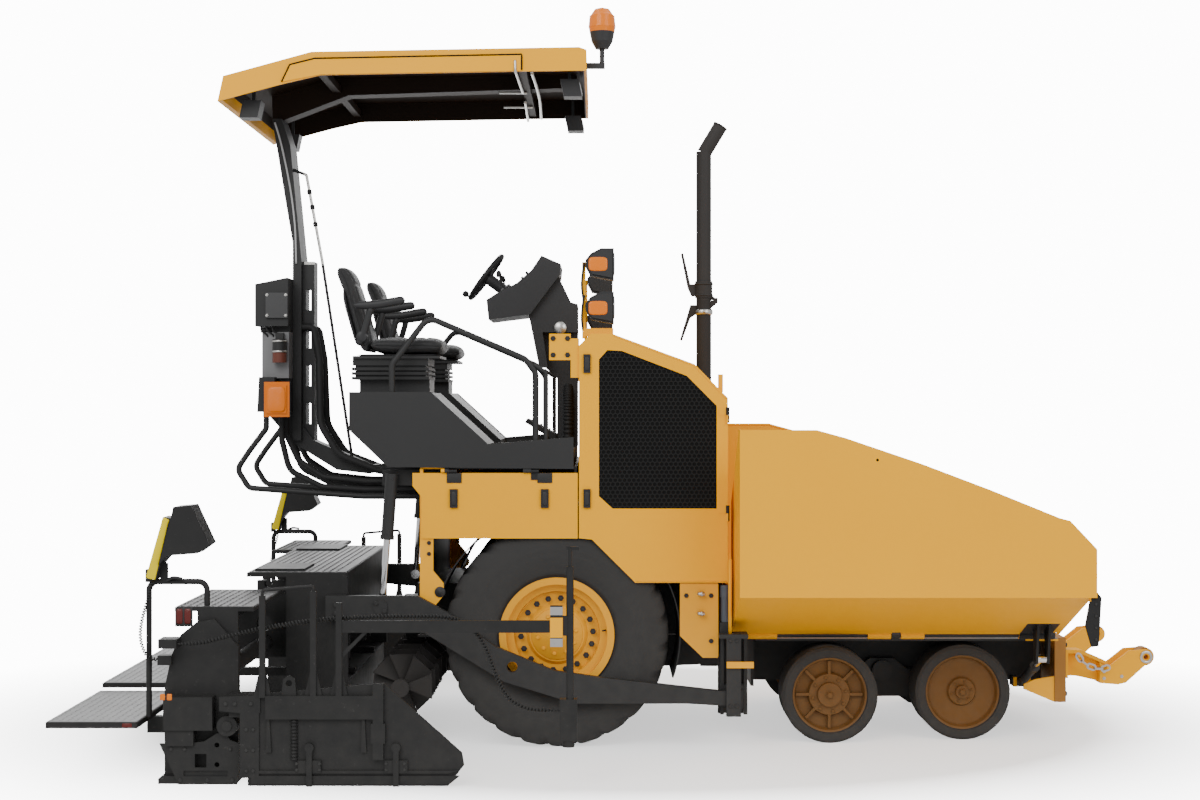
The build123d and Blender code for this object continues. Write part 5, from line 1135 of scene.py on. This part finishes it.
cabinet = {
    "bolts": (((-1.8931, -1.7965), 0.2752, (2.122, 2.228), 0.006),),
    "lens": ([(-1.836, 0.326, 1.69)], (0.047, 0.066), 0.005, 6),
    "cap": (
        ((2.0375, 0), (2.0375, 0.045), (2.06, 0.045), (2.064, 0.04), (2.064, 0)), (-1.9, -0.16, 0), "z", 32,
    ),
    "band": (((0, 0.0358), (0, 0.0385), (0.010, 0.0385), (0.010, 0.0358)), (-1.830, -0.262, 0), "z", 32),
    "bands": ((0, 0, 1.932), (0, 0, 1.985)),
    "cable": (
        ((-1.93, -0.24, 2.069), (-1.925, -0.25, 2.045), (-1.90, -0.236, 2.025), (-1.895, -0.215, 2.0)),
        20, 0.0045, 8,
    ),
    "cables": ((0, 0, 0), (0.03, 0, 0), (0.06, 0, 0)),
}


def buildCabinet():
    studs("cabinetBolts", "tractor", "zincSteel", sides["right"], cabinet["bolts"])
    for name, side in sides.items():
        add(f"rearLampLens_{name}", "tractor", "amberLens", domes(side, *cabinet["lens"]))
    add("tankCap", "tractor", "blackPlastic", [spun(*cabinet["cap"])])
    add("filterBands", "tractor", "zincSteel", placed(spun(*cabinet["band"]), cabinet["bands"]))
    add("cabinetCables", "tractor", "softRubber", placed(pipe(1, *cabinet["cable"]), cabinet["cables"]))


tow = {
    "scale": (0.449, 0.900, (0.5602, 0.74, 0.92)), "scaleRadius": 0.009,
    "bolts": (((0.448, 0.4794), 0.9242, (0.215, 0.53), 0.008),),
}


def buildTow():
    x, out, heights = tow["scale"]
    for name, side in sides.items():
        scale = tubeGrid([(x, side * out, z) for z in heights], tow["scaleRadius"], 12)
        add(f"towScale_{name}", "tractor", "goldPaint", [scale])
        studs(f"towGuideBolts_{name}", "tractor", "darkPaint", side, tow["bolts"])


plates = {
    # a lozenge's half length, half width and height; the margins keep the lozenges off the edges
    "lozenge": (0.013, 0.004, 0.0016), "turn": 0.785, "pitch": 0.034, "margins": (0.02, 0.018),
    "sheet": 0.003, "above": 0.0002, "sunk": 0.0005,
}


def tread(name, body, x, y, z, paint):
    # a plate covered with staggered lozenges, each a little roof with four base corners and a ridge of two
    long, wide, high = plates["lozenge"]
    near, far = plates["margins"]
    columns, rows = (np.arange(low + near, top - far, plates["pitch"]) for low, top in (x, y))
    a, b = np.meshgrid(columns, rows, indexing="ij")
    odd = (np.add.outer(np.arange(len(columns)), np.arange(len(rows))) % 2).ravel()
    lean = np.where(odd, plates["turn"], -plates["turn"])[:, None]
    u = np.array([-long, 0, long, 0, -long * 0.5, long * 0.5])
    v = np.array([0, -wide, 0, wide, 0, 0])
    top = z + plates["sheet"]
    points = np.stack([
        a.ravel()[:, None] + u * np.cos(lean) - v * np.sin(lean),
        b.ravel()[:, None] + u * np.sin(lean) + v * np.cos(lean),
        np.broadcast_to(np.array([top - plates["sunk"]] * 4 + [top + high] * 2), (a.size, 6)),
    ], -1).reshape(-1, 3)
    faces = np.array([(0, 1, 5, 4), (1, 2, 5, 5), (2, 3, 4, 5), (3, 0, 4, 4)])
    faces = (faces + np.arange(a.size)[:, None, None] * 6).reshape(-1, 4)
    corners = [(cx, cy, cz) for cx in x for cy in y for cz in (z + plates["above"], top)]
    loops = [tuple(dict.fromkeys(face)) for face in [*faces.tolist(), *(boxFaces + len(points)).tolist()]]
    obj = turnOutwards(makeObject(name, np.vstack([points, corners]), loops))
    settle(obj, body, paint)


screed = {
    # X limits, Y limits and height of the fixed plates
    "deck": ((-1.885, -1.410), (-0.84, 0.84), 0.850), "walk": ((-2.590, -2.205), (-0.82, 0.82), 0.312),
    # X limits and limits outwards of the plates that slide
    "extension": ((-2.055, -1.715), (0.88, 1.635)),
    "wing": ((-2.595, -2.205), (0.865, 1.745)), "wingTop": 0.279,
    "deckTop": {"right": 0.770, "left": 0.822},
    "plate": (-2.058, -1.980), "plateOut": (1.6402, 1.6442), "plateDeep": 0.085,
    "red": (-2.038, -2.002), "redUnder": 0.040, "redShape": ((0.014, 0.034), 0.004, 6),
    "low": ([(-2.244, 1.7502, 0.266)], (0.022, 0.009), 0.003, 6),
    "amber": ([(x, 1.7352, 0.387) for x in (-2.092, -2.062)], (0.011, 0.014), 0.003, 6),
    "gateBolts": (
        ((-1.50, -1.40, -1.11, -1.03), 1.7692, (0.075, 0.102), 0.006),
        ((-1.72, -1.69), 1.7652, (0.07, 0.16, 0.25), 0.007), ((-1.81, -1.77, -1.70), 1.7652, (0.362,), 0.008),
    ),
    "endPlateBolts": (
        ((-2.06, -2.0, -1.80), 1.7122, (0.155,), 0.007), ((-2.02, -1.90, -1.79), 1.7122, (0.02,), 0.007),
    ),
    "towArmBolts": (
        ((-1.255,), 0.9132, (0.71,), 0.010), ((-1.215,), 0.9132, (0.67,), 0.010),
        ((-1.45,), 0.9132, (0.70, 0.66), 0.010),
    ),
}
station = {
    "hand": ((-2.183, 0.905), (-2.172, 0.898), (-2.142, 0.893), (-2.085, 1.14), (-2.078, 1.157),
             (-2.108, 1.172)),
    "handOut": (1.536, 1.6645),
    # rows and columns of keys, the first one's place, the steps, the face's lean, its way and the size
    "keys": (5, 3), "key": (-2.176, 1.565, 0.935), "keyStep": 0.045, "columnStep": 0.035, "keyStart": 0.035,
    "keyLean": 0.262, "keyWay": (-0.96, 0, 0.26), "keySize": 0.0075,
    "sleeve": ((0.878, 0.0135), (0.878, 0.0165), (0.93, 0.0165), (0.935, 0.0135)),
    "sleevePlace": (-2.183, 1.60),
    "lever": (
        ((-2.10, 1.618, 0.886), (-2.07, 1.628, 0.90), (-2.03, 1.632, 0.896)),
        12, np.linspace(0.008, 0.006, 12), 10,
    ),
}


def buildStation(name, side, body):
    hand = prism(f"handset_{name}", station["hand"], span(side, *station["handOut"]))
    settle(roundEdges(hand, 0.004, 3), body, "handYellow")
    (rows, columns), (x, out, z), step = station["keys"], station["key"], station["keyStep"]
    first, aside, lean = station["keyStart"], station["columnStep"], station["keyLean"]
    keys = [(x + (first + step * row) * lean, side * (out + aside * column), z + step * row,
             station["keyWay"], station["keySize"]) for row in range(rows) for column in range(columns)]
    settle(bolts(f"handsetKeys_{name}", keys, washer=False), body, "blackPlastic")
    x, out = station["sleevePlace"]
    sleeve = spun(station["sleeve"], (x, side * out, 0), "z", 20, closed=True)
    add(f"stationClamps_{name}", body, "blackPlastic", [sleeve, pipe(side, *station["lever"])])


def buildScreed():
    tread("deckTread", "screed", *screed["deck"], "deckSteel")
    tread("walkTread", "screed", *screed["walk"], "walkSteel")
    for name, side in sides.items():
        body, deckTop = f"extension_{name}", screed["deckTop"][name]
        (deckX, deckOut), (wingX, wingOut) = screed["extension"], screed["wing"]
        tread(f"extensionTread_{name}", body, deckX, span(side, *deckOut), deckTop, "deckSteel")
        tread(f"wingTread_{name}", body, wingX, span(side, *wingOut), screed["wingTop"], "walkSteel")
        limits = (*screed["plate"], *span(side, *screed["plateOut"]), deckTop - screed["plateDeep"], deckTop)
        settle(roundEdges(bricks(f"reflectorPlate_{name}", [limits]), 0.001), body, "darkPaint")
        places = [(x, screed["plateOut"][1], deckTop - screed["redUnder"]) for x in screed["red"]]
        red = domes(side, places, *screed["redShape"]) + domes(side, *screed["low"])
        add(f"reflectors_{name}", body, "redLens", red)
        add(f"amberReflectors_{name}", body, "amberLens", domes(side, *screed["amber"]))
        buildStation(name, side, body)
        for label in ("gateBolts", "endPlateBolts"):
            studs(f"{label}_{name}", body, "darkPaint", side, screed[label])
    for name, side in sides.items():
        studs(f"towArmBolts_{name}", "screed", "darkPaint", side, screed["towArmBolts"])


stages = {
    "camera": buildCamera, "cords": buildCords, "room": buildRoom, "node finishes": paintNodes,
    "rear wheels": buildTyres, "front wheels": buildSmallWheels, "grilles": buildGrille, "hood": buildHood,
    "exhaust": buildExhaust, "steering wheel": buildSteeringWheel, "seats": buildSeats, "hopper": buildHopper,
    "canopy": buildCanopy, "console": buildConsole, "cabinet": buildCabinet, "tow points": buildTow,
    "screed": buildScreed,
}
for stage, build in stages.items():
    build()
    print("stage:", stage)
